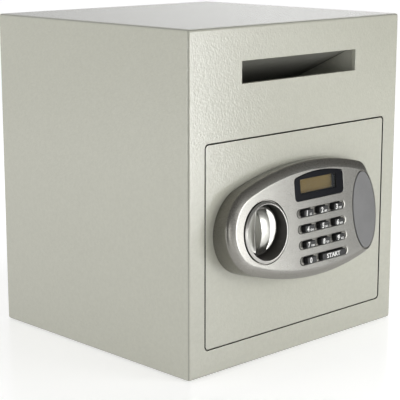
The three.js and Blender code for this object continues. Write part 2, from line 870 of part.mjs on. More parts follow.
function boltBar() {
  const slotX = knobX + pinOffset;
  const slotHalf = camPinRadius + camSlotPlay;
  const slotLow = lockHeight + pinOffset - slotHalf;
  const slotHigh = lockHeight + pinArm + slotHalf;
  const notches = [plungerX, plungerX + boltTravel].map((x) => box(
    x - notchWidth / 2, x + notchWidth / 2, barTop - notchDepth, barTop + past,
    barBack - past, barFront + past,
  ));
  return cut(
    box(barLeft, barRight, barLow, barTop, barBack, barFront),
    plate(
      roundedRect(slotX, (slotLow + slotHigh) / 2, 2 * slotHalf, slotHigh - slotLow, slotHalf - sliver),
      barBack - past, barFront + past, roomSteps,
    ),
    ...notches,
  );
}
place('bolt_bar', boltBar(), zincSteel, onDoor);

function bolt(z) {
  const profile = [
    [0, 0],
    [boltRadius - boltNose, 0],
    [boltRadius, boltNose],
    [boltRadius, boltLength],
    [0, boltLength],
  ].map(([x, y]) => new THREE.Vector2(x, y));
  const geometry = new THREE.LatheGeometry(profile, boltSides);
  geometry.rotateZ(-Math.PI / 2);
  geometry.translate(boltStart, z, -boltDepth);
  return solid(geometry);
}
place('bolt_lower', bolt(boltHeights[0]), brightChrome, onDoor);
place('bolt_upper', bolt(boltHeights[1]), brightChrome, onDoor);

// Bolt guides: an upright plate with a foot on the door
const guideLeft = coverLeft + coverSheet + fit;

function boltGuide(z) {
  const half = boltRadius + guideMargin;
  const back = -coverDepth + coverSheet + 2 * fit;
  return cut(
    join(
      box(guideLeft, guideLeft + guideThickness, z - half, z + half, back, behindDoor),
      box(
        guideLeft, guideLeft + guideThickness + guideFoot, z - half, z + half,
        behindDoor - guideFootThickness, behindDoor,
      ),
    ),
    rodX(
      z, -boltDepth, boltRadius + boltClearance,
      guideLeft - past, guideLeft + guideThickness + past, boltSides,
    ),
  );
}
place('bolt_guide_lower', boltGuide(boltHeights[0]), zincSteel, onDoor);
place('bolt_guide_upper', boltGuide(boltHeights[1]), zincSteel, onDoor);

// Solenoid above the bar, its plunger pointing down at the notches
const solenoidLow = barTop + solenoidGap;
place('solenoid_body', cut(
  box(
    plungerX - solenoidWidth / 2, plungerX + solenoidWidth / 2,
    solenoidLow, solenoidLow + solenoidHeight, behindDoor - solenoidThickness, behindDoor,
  ),
  rodY(
    plungerX, -boltDepth, plungerRadius + fit,
    solenoidLow - past, solenoidLow + plungerHidden + past, pinSides,
  ),
), zincSteel, onDoor);
place('solenoid_plunger', rodY(
  plungerX, -boltDepth, plungerRadius, barTop + plungerClearance, solenoidLow + plungerHidden, pinSides,
), brightChrome, onDoor);

// Display: a black bezel with a deep window, a clear lens and the panel under it
const bezelTop = housingDepth + bezelProud;
const lcdTop = bezelTop - tunnelDepth - fit;
place('display_bezel', cut(
  join(
    plate(bezelOutline(0), bezelTop - bezelThickness, bezelTop),
    plate(displayOutline(tunnelWall), bezelTop - tunnelDepth, bezelTop - bezelThickness / 2, 1),
  ),
  plate(displayOutline(0), 0, 2 * housingDepth, 1),
), blackPlastic, onLock);
place('display_window', plate(
  displayOutline(-fit), bezelTop - windowSet - windowThickness, bezelTop - windowSet, 1,
), clearPlastic, onLock);
place('display_lcd', plate(displayOutline(lcdMargin), lcdTop - lcdThickness, lcdTop, 1), amberGlass, onLock);

// Keypad board, which carries the display and the key contacts
const boardTop = housingDepth - boardDepth;
const boardLeft = bezelX - bezelWidth / 2 - boardMargin / 2;
const boardRight = ovalX - ovalHalfWidth - ovalPad - boardMargin;
const boardLow = keyRowTop - keyRowPitch * (keyRows - 1) - boardMargin;
const boardHigh = bezelBase + bezelShoulder - boardMargin;
place('keypad_board', join(
  plate(
    roundedRect(
      (boardLeft + boardRight) / 2, (boardLow + boardHigh) / 2,
      boardRight - boardLeft, boardHigh - boardLow, boardCorner,
    ), boardTop - boardThickness, boardTop, cornerSteps,
  ),
  plate(displayOutline(0), boardTop - boardThickness, lcdTop - lcdThickness - fit, 1),
), boardGreen, onLock);

// Keys: a cap through the face, a flange under it and a stem over its contact
keys.forEach((key) => {
  const under = housingDepth - housingFace - fit;
  const capTop = housingDepth + keyProud;
  const cap = plate(
    roundedRect(key.x, key.y, key.width, keyHeight, keyCorner), under - keyFlangeThickness, capTop, 1,
  );
  const flange = plate(
    roundedRect(key.x, key.y, key.width + 2 * keyFlange, keyHeight + 2 * keyFlange, keyCorner),
    under - keyFlangeThickness, under, 1,
  );
  const stem = box(
    key.x - keyStem / 2, key.x + keyStem / 2, key.y - keyStem / 2, key.y + keyStem / 2,
    boardTop + keyTravel + fit, under - keyFlangeThickness / 2,
  );
  place(key.name, join(cap, flange, stem), blackRubber, onLock);
});

// Oval cover that hides the override lock
place('override_cover', plate(
  ovalOutline(0), housingDepth - ovalThickness, housingDepth, ovalSteps,
), coverGrey, onLock);

// Override lock: a brass cylinder through the door and a plug that turns in it
place('override_cylinder', cut(
  rodZ(plugX, lockHeight, cylinderRadius, -cylinderBack, cylinderFront, boltSides),
  rodZ(plugX, lockHeight, plugRadius + fit, -cylinderBack - past, cylinderFront + past, boltSides),
), brass, onDoor);

function overridePlug() {
  const tailFront = -cylinderBack - fit;
  return cut(
    join(
      rodZ(0, 0, plugRadius, tailFront - tailThickness, cylinderFront, boltSides),
      box(-tailWidth / 2, tailWidth / 2, 0, tailLength, tailFront - tailThickness, tailFront),
    ),
    box(
      -keywayWidth / 2, keywayWidth / 2, -keywayHeight / 2, keywayHeight / 2,
      cylinderFront - keywayDepth, cylinderFront + past,
    ),
  ).translate([plugX, lockHeight, 0]);
}
place('override_plug', overridePlug(), brass, onDoor);

// Screws that pull the housing onto the door from behind
screwPlaces.forEach(([x, z], count) => {
  place(`housing_screw_${count + 1}`, join(
    rodZ(x, z, screwHeadRadius, behindDoor - screwHeadHeight, behindDoor, pinSides),
    rodZ(x, z, screwRadius, behindDoor - screwHeadHeight / 2, behindDoor + housingScrewLength, screwSides),
  ), zincSteel, onDoor);
});

// Batteries in their holder, and the hatch over them
const cellHeights = Array.from({ length: cellCount }, (unused, count) => (
  holderZ + cellPitch * (count - (cellCount - 1) / 2)
));
const holderRoomX = cellLength + cellNubLength + 2 * fit;
const holderRoomZ = cellPitch * (cellCount - 1) + 2 * (cellRadius + fit);
const cellDepth = doorPlate + fit + holderWall + fit + cellRadius;
place('battery_holder', cut(
  box(
    holderX - holderRoomX / 2 - holderWall, holderX + holderRoomX / 2 + holderWall,
    holderZ - holderRoomZ / 2 - holderWall, holderZ + holderRoomZ / 2 + holderWall,
    -holderDepth, behindDoor,
  ),
  box(
    holderX - holderRoomX / 2, holderX + holderRoomX / 2,
    holderZ - holderRoomZ / 2, holderZ + holderRoomZ / 2,
    -holderDepth - past, behindDoor - holderWall,
  ),
), blackPlastic, onDoor);

function cell(z, turned) {
  const profile = [
    [0, 0],
    [cellRadius, 0],
    [cellRadius, cellLength],
    [cellNubRadius, cellLength],
    [cellNubRadius, cellLength + cellNubLength],
    [0, cellLength + cellNubLength],
  ].map(([x, y]) => new THREE.Vector2(x, y));
  const geometry = new THREE.LatheGeometry(profile, pinSides);
  geometry.translate(0, -(cellLength + cellNubLength) / 2, 0);
  geometry.rotateZ(turned ? Math.PI / 2 : -Math.PI / 2);
  geometry.translate(holderX, z, -cellDepth);
  return solid(geometry);
}
cellHeights.forEach((z, count) => {
  place(`battery_${count + 1}`, cell(z, count % 2 === 1), cellJacket, onDoor);
});

// Inner cover: a folded tray over the bolt work, held by four screws
const hatchWindow = roundedRect(
  holderX, holderZ, holderRoomX + 2 * holderWall, holderRoomZ + 2 * holderWall, holderWall,
);
const coverX = (coverLeft + coverRight) / 2;
const coverZ = (coverBase + coverTop) / 2;
const coverScrews = [coverLeft + screwInset, coverRight - screwInset].flatMap((x) => (
  [coverBase + screwInset, coverTop - screwInset].map((z) => [x, z])
));

function innerCover() {
  const w = coverRight - coverLeft;
  const h = coverTop - coverBase;
  return cut(
    plate(roundedRect(coverX, coverZ, w, h, coverCorner), -coverDepth, behindDoor),
    plate(
      roundedRect(coverX, coverZ, w - 2 * coverSheet, h - 2 * coverSheet, coverCorner - coverSheet),
      -coverDepth + coverSheet, 0,
    ),
    plate(hatchWindow, -2 * coverDepth, 0, cornerSteps),
    rodZ(resetX, resetZ, resetRadius + fit, -2 * coverDepth, 0, pinSides),
    ...coverScrews.map(([x, z]) => rodZ(x, z, screwRadius + fit, -2 * coverDepth, 0, screwSides)),
    ...boltHeights.map((z) => rodX(
      z, -boltDepth, boltRadius + 2 * boltClearance, coverLeft - past, coverLeft + 2 * coverSheet, boltSides,
    )),
  );
}
place('inner_cover', innerCover(), powderGrey, onDoor);

coverScrews.forEach(([x, z], count) => {
  place(`cover_screw_${count + 1}`, join(
    rodZ(x, z, screwHeadRadius, -coverDepth - fit - screwHeadHeight, -coverDepth - fit, pinSides),
    rodZ(x, z, screwRadius, -coverDepth - fit - screwHeadHeight / 2, behindDoor, screwSides),
  ), zincSteel, onDoor);
});

function batteryHatch() {
  const w = holderRoomX + 2 * holderWall;
  const h = holderRoomZ + 2 * holderWall;
  const seat = -coverDepth - fit;
  const lip = roundedRect(holderX, holderZ, w - 2 * fit, h - 2 * fit, holderWall);
  const lipRoom = roundedRect(
    holderX, holderZ, w - 2 * fit - 2 * hatchLip, h - 2 * fit - 2 * hatchLip, fit,
  );
  return join(
    plate(
      roundedRect(holderX, holderZ, w + 2 * hatchOverlap, h + 2 * hatchOverlap, hatchOverlap),
      seat - hatchThickness, seat,
    ),
    cut(
      plate(lip, seat - hatchThickness / 2, seat + hatchLip, cornerSteps),
      plate(lipRoom, seat, seat + 2 * hatchLip, cornerSteps),
    ),
    box(
      holderX - 2 * hatchTab, holderX + 2 * hatchTab,
      holderZ + h / 2 - hatchTab / 2, holderZ + h / 2 + hatchTab / 2,
      seat - 2 * hatchThickness, seat - hatchThickness / 2,
    ),
  );
}
place('battery_cover', batteryHatch(), blackPlastic, onDoor);

// Reset button through the inner cover, over its switch
const resetSeat = -coverDepth + coverSheet + fit;
place('reset_button', join(
  rodZ(resetX, resetZ, resetRadius, -coverDepth - resetProud, resetSeat, pinSides),
  rodZ(resetX, resetZ, resetFlangeRadius, resetSeat, resetSeat + coverSheet, pinSides),
  rodZ(
    resetX, resetZ, resetRadius / 2, resetSeat, -resetSwitchDepth - resetTravel - fit, screwSides,
  ),
), redPlastic, onDoor);
place('reset_switch', box(
  resetX - resetSwitchSize / 2, resetX + resetSwitchSize / 2,
  resetZ - resetSwitchSize / 2, resetZ + resetSwitchSize / 2,
  -resetSwitchDepth, behindDoor,
), blackPlastic, onDoor);

export default safe;
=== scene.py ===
import math

import bmesh
import bpy
from mathutils import Matrix, Vector


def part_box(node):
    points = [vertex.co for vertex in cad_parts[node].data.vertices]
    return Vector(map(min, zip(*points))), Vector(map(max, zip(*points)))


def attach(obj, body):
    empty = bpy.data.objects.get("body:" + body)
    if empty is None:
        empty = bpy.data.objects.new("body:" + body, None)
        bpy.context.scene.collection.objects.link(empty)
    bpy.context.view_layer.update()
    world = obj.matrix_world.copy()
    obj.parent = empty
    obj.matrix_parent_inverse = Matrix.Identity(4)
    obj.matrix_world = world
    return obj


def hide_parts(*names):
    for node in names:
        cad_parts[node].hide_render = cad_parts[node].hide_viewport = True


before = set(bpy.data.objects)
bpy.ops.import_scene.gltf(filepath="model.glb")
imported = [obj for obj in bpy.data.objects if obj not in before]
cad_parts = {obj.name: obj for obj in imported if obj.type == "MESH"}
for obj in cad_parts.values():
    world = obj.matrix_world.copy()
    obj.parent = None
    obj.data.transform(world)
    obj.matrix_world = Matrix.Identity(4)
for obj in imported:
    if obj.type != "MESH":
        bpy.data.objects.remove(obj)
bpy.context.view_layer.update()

# The view: a long lens, from the left of the safe and a little above its middle.
# Both vertical edges of the front stay nearly upright in it.
scene = bpy.context.scene
scene.view_settings.view_transform = "Standard"
view = bpy.data.cameras.new("view")
view.sensor_width = 36
view.lens = 118.63
viewer = bpy.data.objects.new("viewer", view)
viewer.location = (-1.1077, -1.1466, 0.4903)
viewer.rotation_euler = (math.radians(77.978), 0, math.radians(-44.055))
scene.collection.objects.link(viewer)
scene.camera = viewer


# Steel casing: folded sheet, welded at the corners, ground and powder coated in one piece.
# The deposit slot has a folded return, and the door opening has small round corners.
MM = 0.001
WALL = 2.5
FACE_WALL = 3.0
OUTER_BEND = 3.4
SLOT_RETURN = 5.8
SLOT_LIP = 2.0
OPENING_CORNER = 5.5
ANCHOR_RADIUS = 5.0
ANCHOR_REACH = 100.0
PAINT_ROUNDING = 0.45
OVERSHOOT = 20.0


def block(low, high, corner=0.0, along=1, steps=6):
    """A box between two corners in millimetres, with its edges along one axis rounded."""
    bm = bmesh.new()
    low, high = Vector(low) * MM, Vector(high) * MM
    size = high - low
    place = Matrix.Translation((low + high) / 2) @ Matrix.Diagonal((*size, 1.0))
    bmesh.ops.create_cube(bm, size=1.0, matrix=place)
    if corner:
        run = [e for e in bm.edges if abs(e.verts[0].co[along] - e.verts[1].co[along]) > size[along] / 2]
        round_off(bm, run, corner, steps)
    return bm


def round_off(bm, edges, radius, steps):
    """Rounds edges by a radius in millimetres."""
    bmesh.ops.bevel(
        bm, geom=edges, offset=radius * MM, segments=steps, profile=0.5,
        affect="EDGES", material=-1, clamp_overlap=True,
    )


def make(bm, name, turn=Matrix.Identity(4)):
    """Makes an object of a bmesh, placed by a matrix, and keeps the object itself at the origin."""
    bm.transform(turn)
    bmesh.ops.recalc_face_normals(bm, faces=bm.faces[:])
    mesh = bpy.data.meshes.new(name)
    bm.to_mesh(mesh)
    bm.free()
    piece = bpy.data.objects.new(name, mesh)
    scene.collection.objects.link(piece)
    return piece


def rod(name, place, radius, length, turn=Matrix.Identity(4)):
    """A round tool centred on a place in millimetres."""
    bm = bmesh.new()
    bmesh.ops.create_cone(
        bm, cap_ends=True, segments=48, radius1=radius * MM, radius2=radius * MM, depth=length * MM,
        matrix=Matrix.Translation(Vector(place) * MM) @ turn,
    )
    return make(bm, name)


def carve(piece, operation, *tools):
    """Cuts with, joins or keeps what is inside each tool, and uses the tools up."""
    for tool in tools:
        modifier = piece.modifiers.new(operation, "BOOLEAN")
        modifier.operation = operation
        modifier.solver = "EXACT"
        modifier.object = tool
    bpy.context.view_layer.update()
    graph = bpy.context.evaluated_depsgraph_get()
    carved = bpy.data.meshes.new_from_object(piece.evaluated_get(graph))
    piece.modifiers.clear()
    piece.data = carved
    for tool in tools:
        bpy.data.objects.remove(tool)
    return piece


def ease(piece, radius, crease=40.0, steps=2, only=lambda edge: True):
    """Rounds the sharp edges that are left after cutting."""
    bm = bmesh.new()
    bm.from_mesh(piece.data)
    bmesh.ops.remove_doubles(bm, verts=bm.verts[:], dist=1e-6)
    limit = math.radians(crease)
    sharp = [e for e in bm.edges if len(e.link_faces) == 2 and e.calc_face_angle(0) > limit and only(e)]
    bmesh.ops.bevel(
        bm, geom=sharp, offset=radius * MM, segments=steps, profile=0.5,
        affect="EDGES", material=-1, clamp_overlap=False,
    )
    bm.to_mesh(piece.data)
    bm.free()
    return piece


def shade(piece, crease=38.0):
    """Shades round faces smooth and keeps flat faces flat."""
    piece.data.shade_smooth()
    piece.data.set_sharp_from_angle(angle=math.radians(crease))
    even = piece.modifiers.new("even", "WEIGHTED_NORMAL")
    even.keep_sharp = True
    return piece


def linear(*levels):
    """A colour given as it looks on screen, as the shader takes it."""
    shares = [level / 255 for level in levels]
    return tuple(share / 12.92 if share < 0.0431 else ((share + 0.055) / 1.055) ** 2.4 for share in shares)


def ranged(tree, source, start=0.0, end=1.0, low=0.0, high=1.0):
    """Turns one range of an output into another."""
    step = tree.nodes.new("ShaderNodeMapRange")
    for socket, value in (("From Min", start), ("From Max", end), ("To Min", low), ("To Max", high)):
        step.inputs[socket].default_value = value
    tree.links.new(source, step.inputs["Value"])
    return step.outputs["Result"]


def finish(name, colour, tint, patch=60, rough=0.5, metal=0.0, grain=0, relief=0.0, specular=0.5):
    """A finish whose colour drifts between two tones in soft patches, over a fine relief.
    patch and grain are pattern scales per metre, and relief is the height in millimetres."""
    material = bpy.data.materials.new(name)
    material.use_nodes = True
    nodes, links = material.node_tree.nodes, material.node_tree.links
    shader = nodes["Principled BSDF"]
    shader.inputs["Metallic"].default_value = metal
    shader.inputs["Specular IOR Level"].default_value = specular
    where = nodes.new("ShaderNodeTexCoord")
    drift = nodes.new("ShaderNodeTexNoise")
    drift.inputs["Scale"].default_value = patch
    drift.inputs["Detail"].default_value = 3
    links.new(where.outputs["Object"], drift.inputs["Vector"])
    tones = nodes.new("ShaderNodeValToRGB")
    tones.color_ramp.elements[0].position = 0.35
    tones.color_ramp.elements[1].position = 0.65
    tones.color_ramp.elements[0].color = (*linear(*colour), 1)
    tones.color_ramp.elements[1].color = (*linear(*tint), 1)
    links.new(drift.outputs["Fac"], tones.inputs["Fac"])
    links.new(tones.outputs["Color"], shader.inputs["Base Color"])
    if grain:
        fine = nodes.new("ShaderNodeTexNoise")
        fine.inputs["Scale"].default_value = grain
        fine.inputs["Detail"].default_value = 2
        links.new(where.outputs["Object"], fine.inputs["Vector"])
        raise_up = nodes.new("ShaderNodeBump")
        raise_up.inputs["Strength"].default_value = 1.0
        raise_up.inputs["Distance"].default_value = relief * MM
        links.new(fine.outputs["Fac"], raise_up.inputs["Height"])
        links.new(raise_up.outputs["Normal"], shader.inputs["Normal"])
        vary = ranged(material.node_tree, fine.outputs["Fac"], low=rough * 0.88, high=rough * 1.12)
        links.new(vary, shader.inputs["Roughness"])
    else:
        shader.inputs["Roughness"].default_value = rough
    return material


def dress(piece, body, slot, *materials):
    """Gives a piece its finish and the body that it moves with."""
    for material in materials:
        piece.data.materials.append(material)
    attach(piece, body)
    return piece


def redress(node, material):
    """Gives a carried-over solid its finish."""
    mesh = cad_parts[node].data
    mesh.materials.clear()
    mesh.materials.append(material)


powder_coat = finish(
    "powder_coat", (202, 202, 188), tint=(198, 198, 184), patch=300, rough=0.12, grain=420, relief=0.26,
    specular=0.8,
)

nodes, links = powder_coat.node_tree.nodes, powder_coat.node_tree.links
coat_tones = next(n for n in nodes if n.type == "VALTORGB")
# Painted shade: the coat turns a darker tone along the casing's rounded edges, for the dark lines the bends
# show.
edge_shade_attribute = nodes.new("ShaderNodeAttribute")
edge_shade_attribute.attribute_name = "painted_edge_shade"
edge_shade_mix = nodes.new("ShaderNodeMix")
edge_shade_mix.data_type = "RGBA"
edge_shade_mix.inputs["B"].default_value = (*linear(150, 150, 141), 1)
links.new(edge_shade_attribute.outputs["Fac"], edge_shade_mix.inputs["Factor"])
links.new(coat_tones.outputs["Color"], edge_shade_mix.inputs["A"])
links.new(edge_shade_mix.outputs["Result"], nodes["Principled BSDF"].inputs["Base Color"])

side, _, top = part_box("body_shell")[1] / MM
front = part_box("front_frame")[0].y / MM
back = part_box("back_plate")[1].y / MM

door_low, door_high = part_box("door_plate")
DOOR_GAP = 1.5
HINGE_GAP = 2.2
opening_low = Vector((door_low.x / MM - DOOR_GAP, front, door_low.z / MM - DOOR_GAP))
opening_high = Vector((door_high.x / MM + HINGE_GAP, front, door_high.z / MM + DOOR_GAP))

SLOT_HALF_WIDTH = 95.0
SLOT_HEIGHT = 24.5
slot_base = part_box("chute_ramp")[1].z / MM + SLOT_LIP
slot_top = slot_base + SLOT_HEIGHT

casing_bm = block((-side, front, 0), (side, back, top))
round_off(casing_bm, casing_bm.edges[:], OUTER_BEND, 6)
casing = make(casing_bm, "casing")
carve(casing, "DIFFERENCE", make(block(
    (-side + WALL, front + FACE_WALL, WALL), (side - WALL, back - WALL, top - WALL), OUTER_BEND - WALL,
), "room"))
carve(casing, "UNION", make(block(
    (-SLOT_HALF_WIDTH - SLOT_LIP, front + FACE_WALL / 2, slot_base - SLOT_LIP),
    (SLOT_HALF_WIDTH + SLOT_LIP, front + SLOT_RETURN, slot_top + SLOT_LIP),
), "lining"))
carve(
    casing, "DIFFERENCE",
    make(block(
        (-SLOT_HALF_WIDTH, front - OVERSHOOT, slot_base),
        (SLOT_HALF_WIDTH, front + OVERSHOOT, slot_top), 0.8, steps=3,
    ), "slot"),
    make(block(
        (opening_low.x, front - OVERSHOOT, opening_low.z),
        (opening_high.x, front + OVERSHOOT, opening_high.z), OPENING_CORNER,
    ), "door_opening"),
)
for reach in (-ANCHOR_REACH, ANCHOR_REACH):
    for turn, place in (
        (Matrix.Identity(4), (reach, 0, 0)),
        (Matrix.Rotation(math.pi / 2, 4, "X"), (reach, back, top / 2)),
    ):
        carve(casing, "DIFFERENCE", rod("anchor_drill", place, ANCHOR_RADIUS, OVERSHOOT, turn))
ease(casing, PAINT_ROUNDING)
# Marks the band along each rounded edge that takes the painted edge shade.
edge_shade = casing.data.attributes.new("painted_edge_shade", "FLOAT", "POINT")
for point in casing.data.vertices:
    inside = sorted((
        side * MM - abs(point.co.x), point.co.y - front * MM, back * MM - point.co.y,
        top * MM - point.co.z, point.co.z,
    ))
    reach = max(inside[0], inside[1]) / (OUTER_BEND * MM)
    edge_shade.data[point.index].value = 1.0 if inside[0] > 0.02 * MM and reach < 0.4 else 0.0
shade(casing)
# gap_shade is painted shade for the narrow gap round the door, on the casing and the door leaf.
gap_shade = finish("gap_shade", (66, 66, 60), tint=(58, 58, 53), patch=60, rough=0.7, specular=0.2)
dress(casing, "cabinet", "powder_grey", powder_coat, gap_shade)


def darken_gap(piece, low, high, deep):
    """Paints shade on the walls of the door's gap: gap_shade stands in for the shadow in the narrow gap."""
    for face in piece.data.polygons:
        x, y, z = face.center / MM
        near = min(abs(x - low.x), abs(x - high.x), abs(z - low.z), abs(z - high.z)) < 2.5
        within = low.x - 0.6 < x < high.x + 0.6 and low.z - 0.6 < z < high.z + 0.6
        if near and within and abs(face.normal.y) < 0.5 and front + 0.3 < y < front + deep:
            face.material_index = 1


darken_gap(casing, opening_low, opening_high, FACE_WALL + 0.2)
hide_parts("body_shell", "back_plate", "front_frame")


# Door jamb, pivot pins and their blocks: a bent steel ring behind the opening, and two
# steel pins that run in blocks on the back of the door. The jamb is coated with the casing.
zinc = finish(
    "zinc_plate", (172, 174, 178), tint=(150, 150, 140), patch=60, rough=0.34, metal=1.0, grain=900,
    relief=0.02,
)
redress("door_jamb", powder_coat)
ON_DOOR = Matrix.Translation((0, front * MM, 0)) @ Matrix.Rotation(math.pi / 2, 4, "X")
TO_RIGHT = Matrix.Rotation(math.pi / 2, 4, "Y")
TO_LEFT = Matrix.Rotation(-math.pi / 2, 4, "Y")
UPWARDS = Matrix.Rotation(-math.pi / 2, 4, "X")
DOWNWARDS = Matrix.Rotation(math.pi / 2, 4, "X")
OUTWARDS = Matrix.Identity(4)
PIN_RADIUS = 3.0
PIN_HEAD_RADIUS = 5.0
PIN_HEAD = 3.0
PIN_EASE = 0.7
PIN_PLAY = 0.3


def turned(profile, sides=128):
    """Turns a profile of radius and height, in millimetres, about local Z."""
    bm = bmesh.new()
    chain = [bm.verts.new((radius * MM, 0, height * MM)) for radius, height in profile]
    line = [bm.edges.new(pair) for pair in zip(chain, chain[1:])]
    bmesh.ops.spin(
        bm, geom=chain + line, cent=(0, 0, 0), axis=(0, 0, 1), angle=2 * math.pi, steps=sides,
        use_merge=True, use_duplicate=False,
    )
    bmesh.ops.remove_doubles(bm, verts=bm.verts[:], dist=1e-7)
    bmesh.ops.recalc_face_normals(bm, faces=bm.faces[:])
    return bm


def arc(centre_r, centre_z, radius, start, end, steps):
    """Points of a turned profile along an arc, in degrees from the radius direction."""
    angles = [math.radians(start + (end - start) * step / steps) for step in range(steps + 1)]
    return [(centre_r + radius * math.cos(a), centre_z + radius * math.sin(a)) for a in angles]


def spun(name, profile, place, turn=OUTWARDS, sides=64):
    """Turns a profile about an axis through a place: across, up and out of the door."""
    return make(turned(profile, sides), name, ON_DOOR @ Matrix.Translation(Vector(place) * MM) @ turn)


def room_of(node):
    """A node's two corners, and its middle across, up and out of the door, in millimetres."""
    low, high = (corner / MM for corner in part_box(node))
    centre = (low + high) / 2
    return low, high, Vector((centre.x, centre.z, front - centre.y))


for end, way, turn in (("top", 1, UPWARDS), ("bottom", -1, DOWNWARDS)):
    low, high, (across, up, out) = room_of(f"hinge_pin_{end}")
    length = high.z - low.z
    pin = spun(f"pivot_pin_{end}", [
        (0, 0), (PIN_RADIUS - PIN_EASE, 0), (PIN_RADIUS, PIN_EASE), (PIN_RADIUS, length - PIN_HEAD),
        (PIN_HEAD_RADIUS, length - PIN_HEAD), (PIN_HEAD_RADIUS, length - PIN_EASE),
        (PIN_HEAD_RADIUS - PIN_EASE, length), (0, length),
    ], (across, up - way * length / 2, out), turn)
    shade(pin)
    dress(pin, "cabinet", "zinc_steel", zinc)
    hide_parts(f"hinge_pin_{end}")
    low, high, (across, up, out) = room_of(f"hinge_block_{end}")
    bearing = make(block(low, high), f"pivot_block_{end}")
    tall = high.z - low.z
    _, _, (across, _, out) = room_of(f"hinge_pin_{end}")
    carve(bearing, "DIFFERENCE", spun("pivot_bore", [
        (0, 0), (PIN_RADIUS + PIN_PLAY, 0), (PIN_RADIUS + PIN_PLAY, 2 * tall), (0, 2 * tall),
    ], (across, up - tall, out), UPWARDS, 48))
    ease(bearing, 0.6, steps=3)
    shade(bearing)
    dress(bearing, "door", "zinc_steel", zinc)
    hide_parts(f"hinge_block_{end}")


# Chute: a sloping deflector over a short ramp, with a cheek at each end.
# All four are thin sheet, folded, spot welded and coated; the deflector and ramp are painted darker, as
# painted shade deep in the slot.
chute_shaded_coat = finish(
    "chute_shaded_coat", (152, 152, 144), tint=(146, 146, 138), patch=80, rough=0.4, grain=300, relief=0.2,
)
cheek_coat = finish(
    "cheek_coat", (206, 206, 194), tint=(200, 200, 188), patch=80, rough=0.4, grain=300, relief=0.2,
)
# Painted shade: the deflector and ramp take a darker tone of the coat than the cheeks.
for node in ("chute_deflector", "chute_ramp"):
    redress(node, chute_shaded_coat)
for node in ("chute_cheek_left", "chute_cheek_right"):
    redress(node, cheek_coat)


# Felt mat on the floor, cut clear of the anchor holes.
# Needled grey wool felt, loosely laid.
felt = finish("felt", (92, 93, 98), tint=(74, 75, 79), patch=300, rough=0.95, grain=1500, relief=0.3)
MAT_CORNER = 6.0
MAT_HOLE = 10.0
MAT_WAVE = 0.09


def thicken(bm, low, high):
    """Extrudes a filled outline from one height to another, in millimetres."""
    bmesh.ops.translate(bm, verts=bm.verts[:], vec=(0, 0, low * MM))
    grown = bmesh.ops.extrude_face_region(bm, geom=bm.faces[:])
    raised = [v for v in grown["geom"] if isinstance(v, bmesh.types.BMVert)]
    bmesh.ops.translate(bm, verts=raised, vec=(0, 0, (high - low) * MM))
    bmesh.ops.recalc_face_normals(bm, faces=bm.faces[:])
    return bm


def rim(bm, height):
    """The edges round the face at a height in millimetres."""
    flat = [e for e in bm.edges if all(abs(v.co.z - height * MM) < 1e-6 for v in e.verts)]
    return [e for e in flat if len(e.link_faces) == 2 and e.calc_face_angle(0) > 0.5]


low, high, _ = room_of("floor_mat")
felt_bm = bmesh.new()
bmesh.ops.create_grid(felt_bm, x_segments=48, y_segments=42, size=0.5, matrix=Matrix.Diagonal(
    ((high.x - low.x + 4) * MM, (high.y - low.y + 4) * MM, 1, 1),
))
mat = make(thicken(felt_bm, low.z, high.z), "felt_mat")
carve(mat, "INTERSECT", make(block(
    (low.x, low.y, low.z - 5), (high.x, high.y, high.z + 5), MAT_CORNER, along=2, steps=8,
), "mat_outline"))
for reach in (-ANCHOR_REACH, ANCHOR_REACH):
    carve(mat, "DIFFERENCE", rod("punch", (reach, 0, 0), MAT_HOLE, OVERSHOOT * 2))
for point in mat.data.vertices:
    point.co.z += MAT_WAVE * MM * (math.sin(point.co.x * 41) + math.sin(point.co.y * 33 + point.co.x * 12))
shade(mat)
dress(mat, "cabinet", "grey_felt", felt)
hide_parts("floor_mat")


# Door leaf: one flat steel plate that sits flush in the opening, with small round corners.
# It is drilled for the spindle, the override lock and two screws, then powder coated.
DOOR_CORNER = 4.0
DOOR_EDGE = 0.5
SPINDLE_HOLE = 4.6
BARREL_HOLE = 9.8
SCREW_HOLE = 2.3
door_box = [v / MM for v in (*door_low, *door_high)]
door = make(block(door_box[:3], door_box[3:], DOOR_CORNER), "door_leaf")
spindle_low, spindle_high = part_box("knob_spindle")
cylinder_low, cylinder_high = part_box("override_cylinder")
LOCK_Z = (spindle_low.z + spindle_high.z) / 2 / MM
KNOB_X = (spindle_low.x + spindle_high.x) / 2 / MM
OVAL_X = (cylinder_low.x + cylinder_high.x) / 2 / MM


def drill_through(x, z, radius):
    """A round tool square to the door."""
    return rod("drill", (x, front, z), radius, OVERSHOOT * 2, Matrix.Rotation(math.pi / 2, 4, "X"))


carve(
    door, "DIFFERENCE",
    drill_through(KNOB_X, LOCK_Z, SPINDLE_HOLE), drill_through(OVAL_X, LOCK_Z, BARREL_HOLE),
)
for count in (1, 2):
    screw_low, screw_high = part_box(f"housing_screw_{count}")
    middle = (screw_low + screw_high) / 2 / MM
    carve(door, "DIFFERENCE", drill_through(middle.x, middle.z, SCREW_HOLE))
ease(door, DOOR_EDGE)
shade(door)
dress(door, "door", "powder_grey", powder_coat, gap_shade)
darken_gap(door, door_low / MM, door_high / MM, 8)
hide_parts("door_plate")


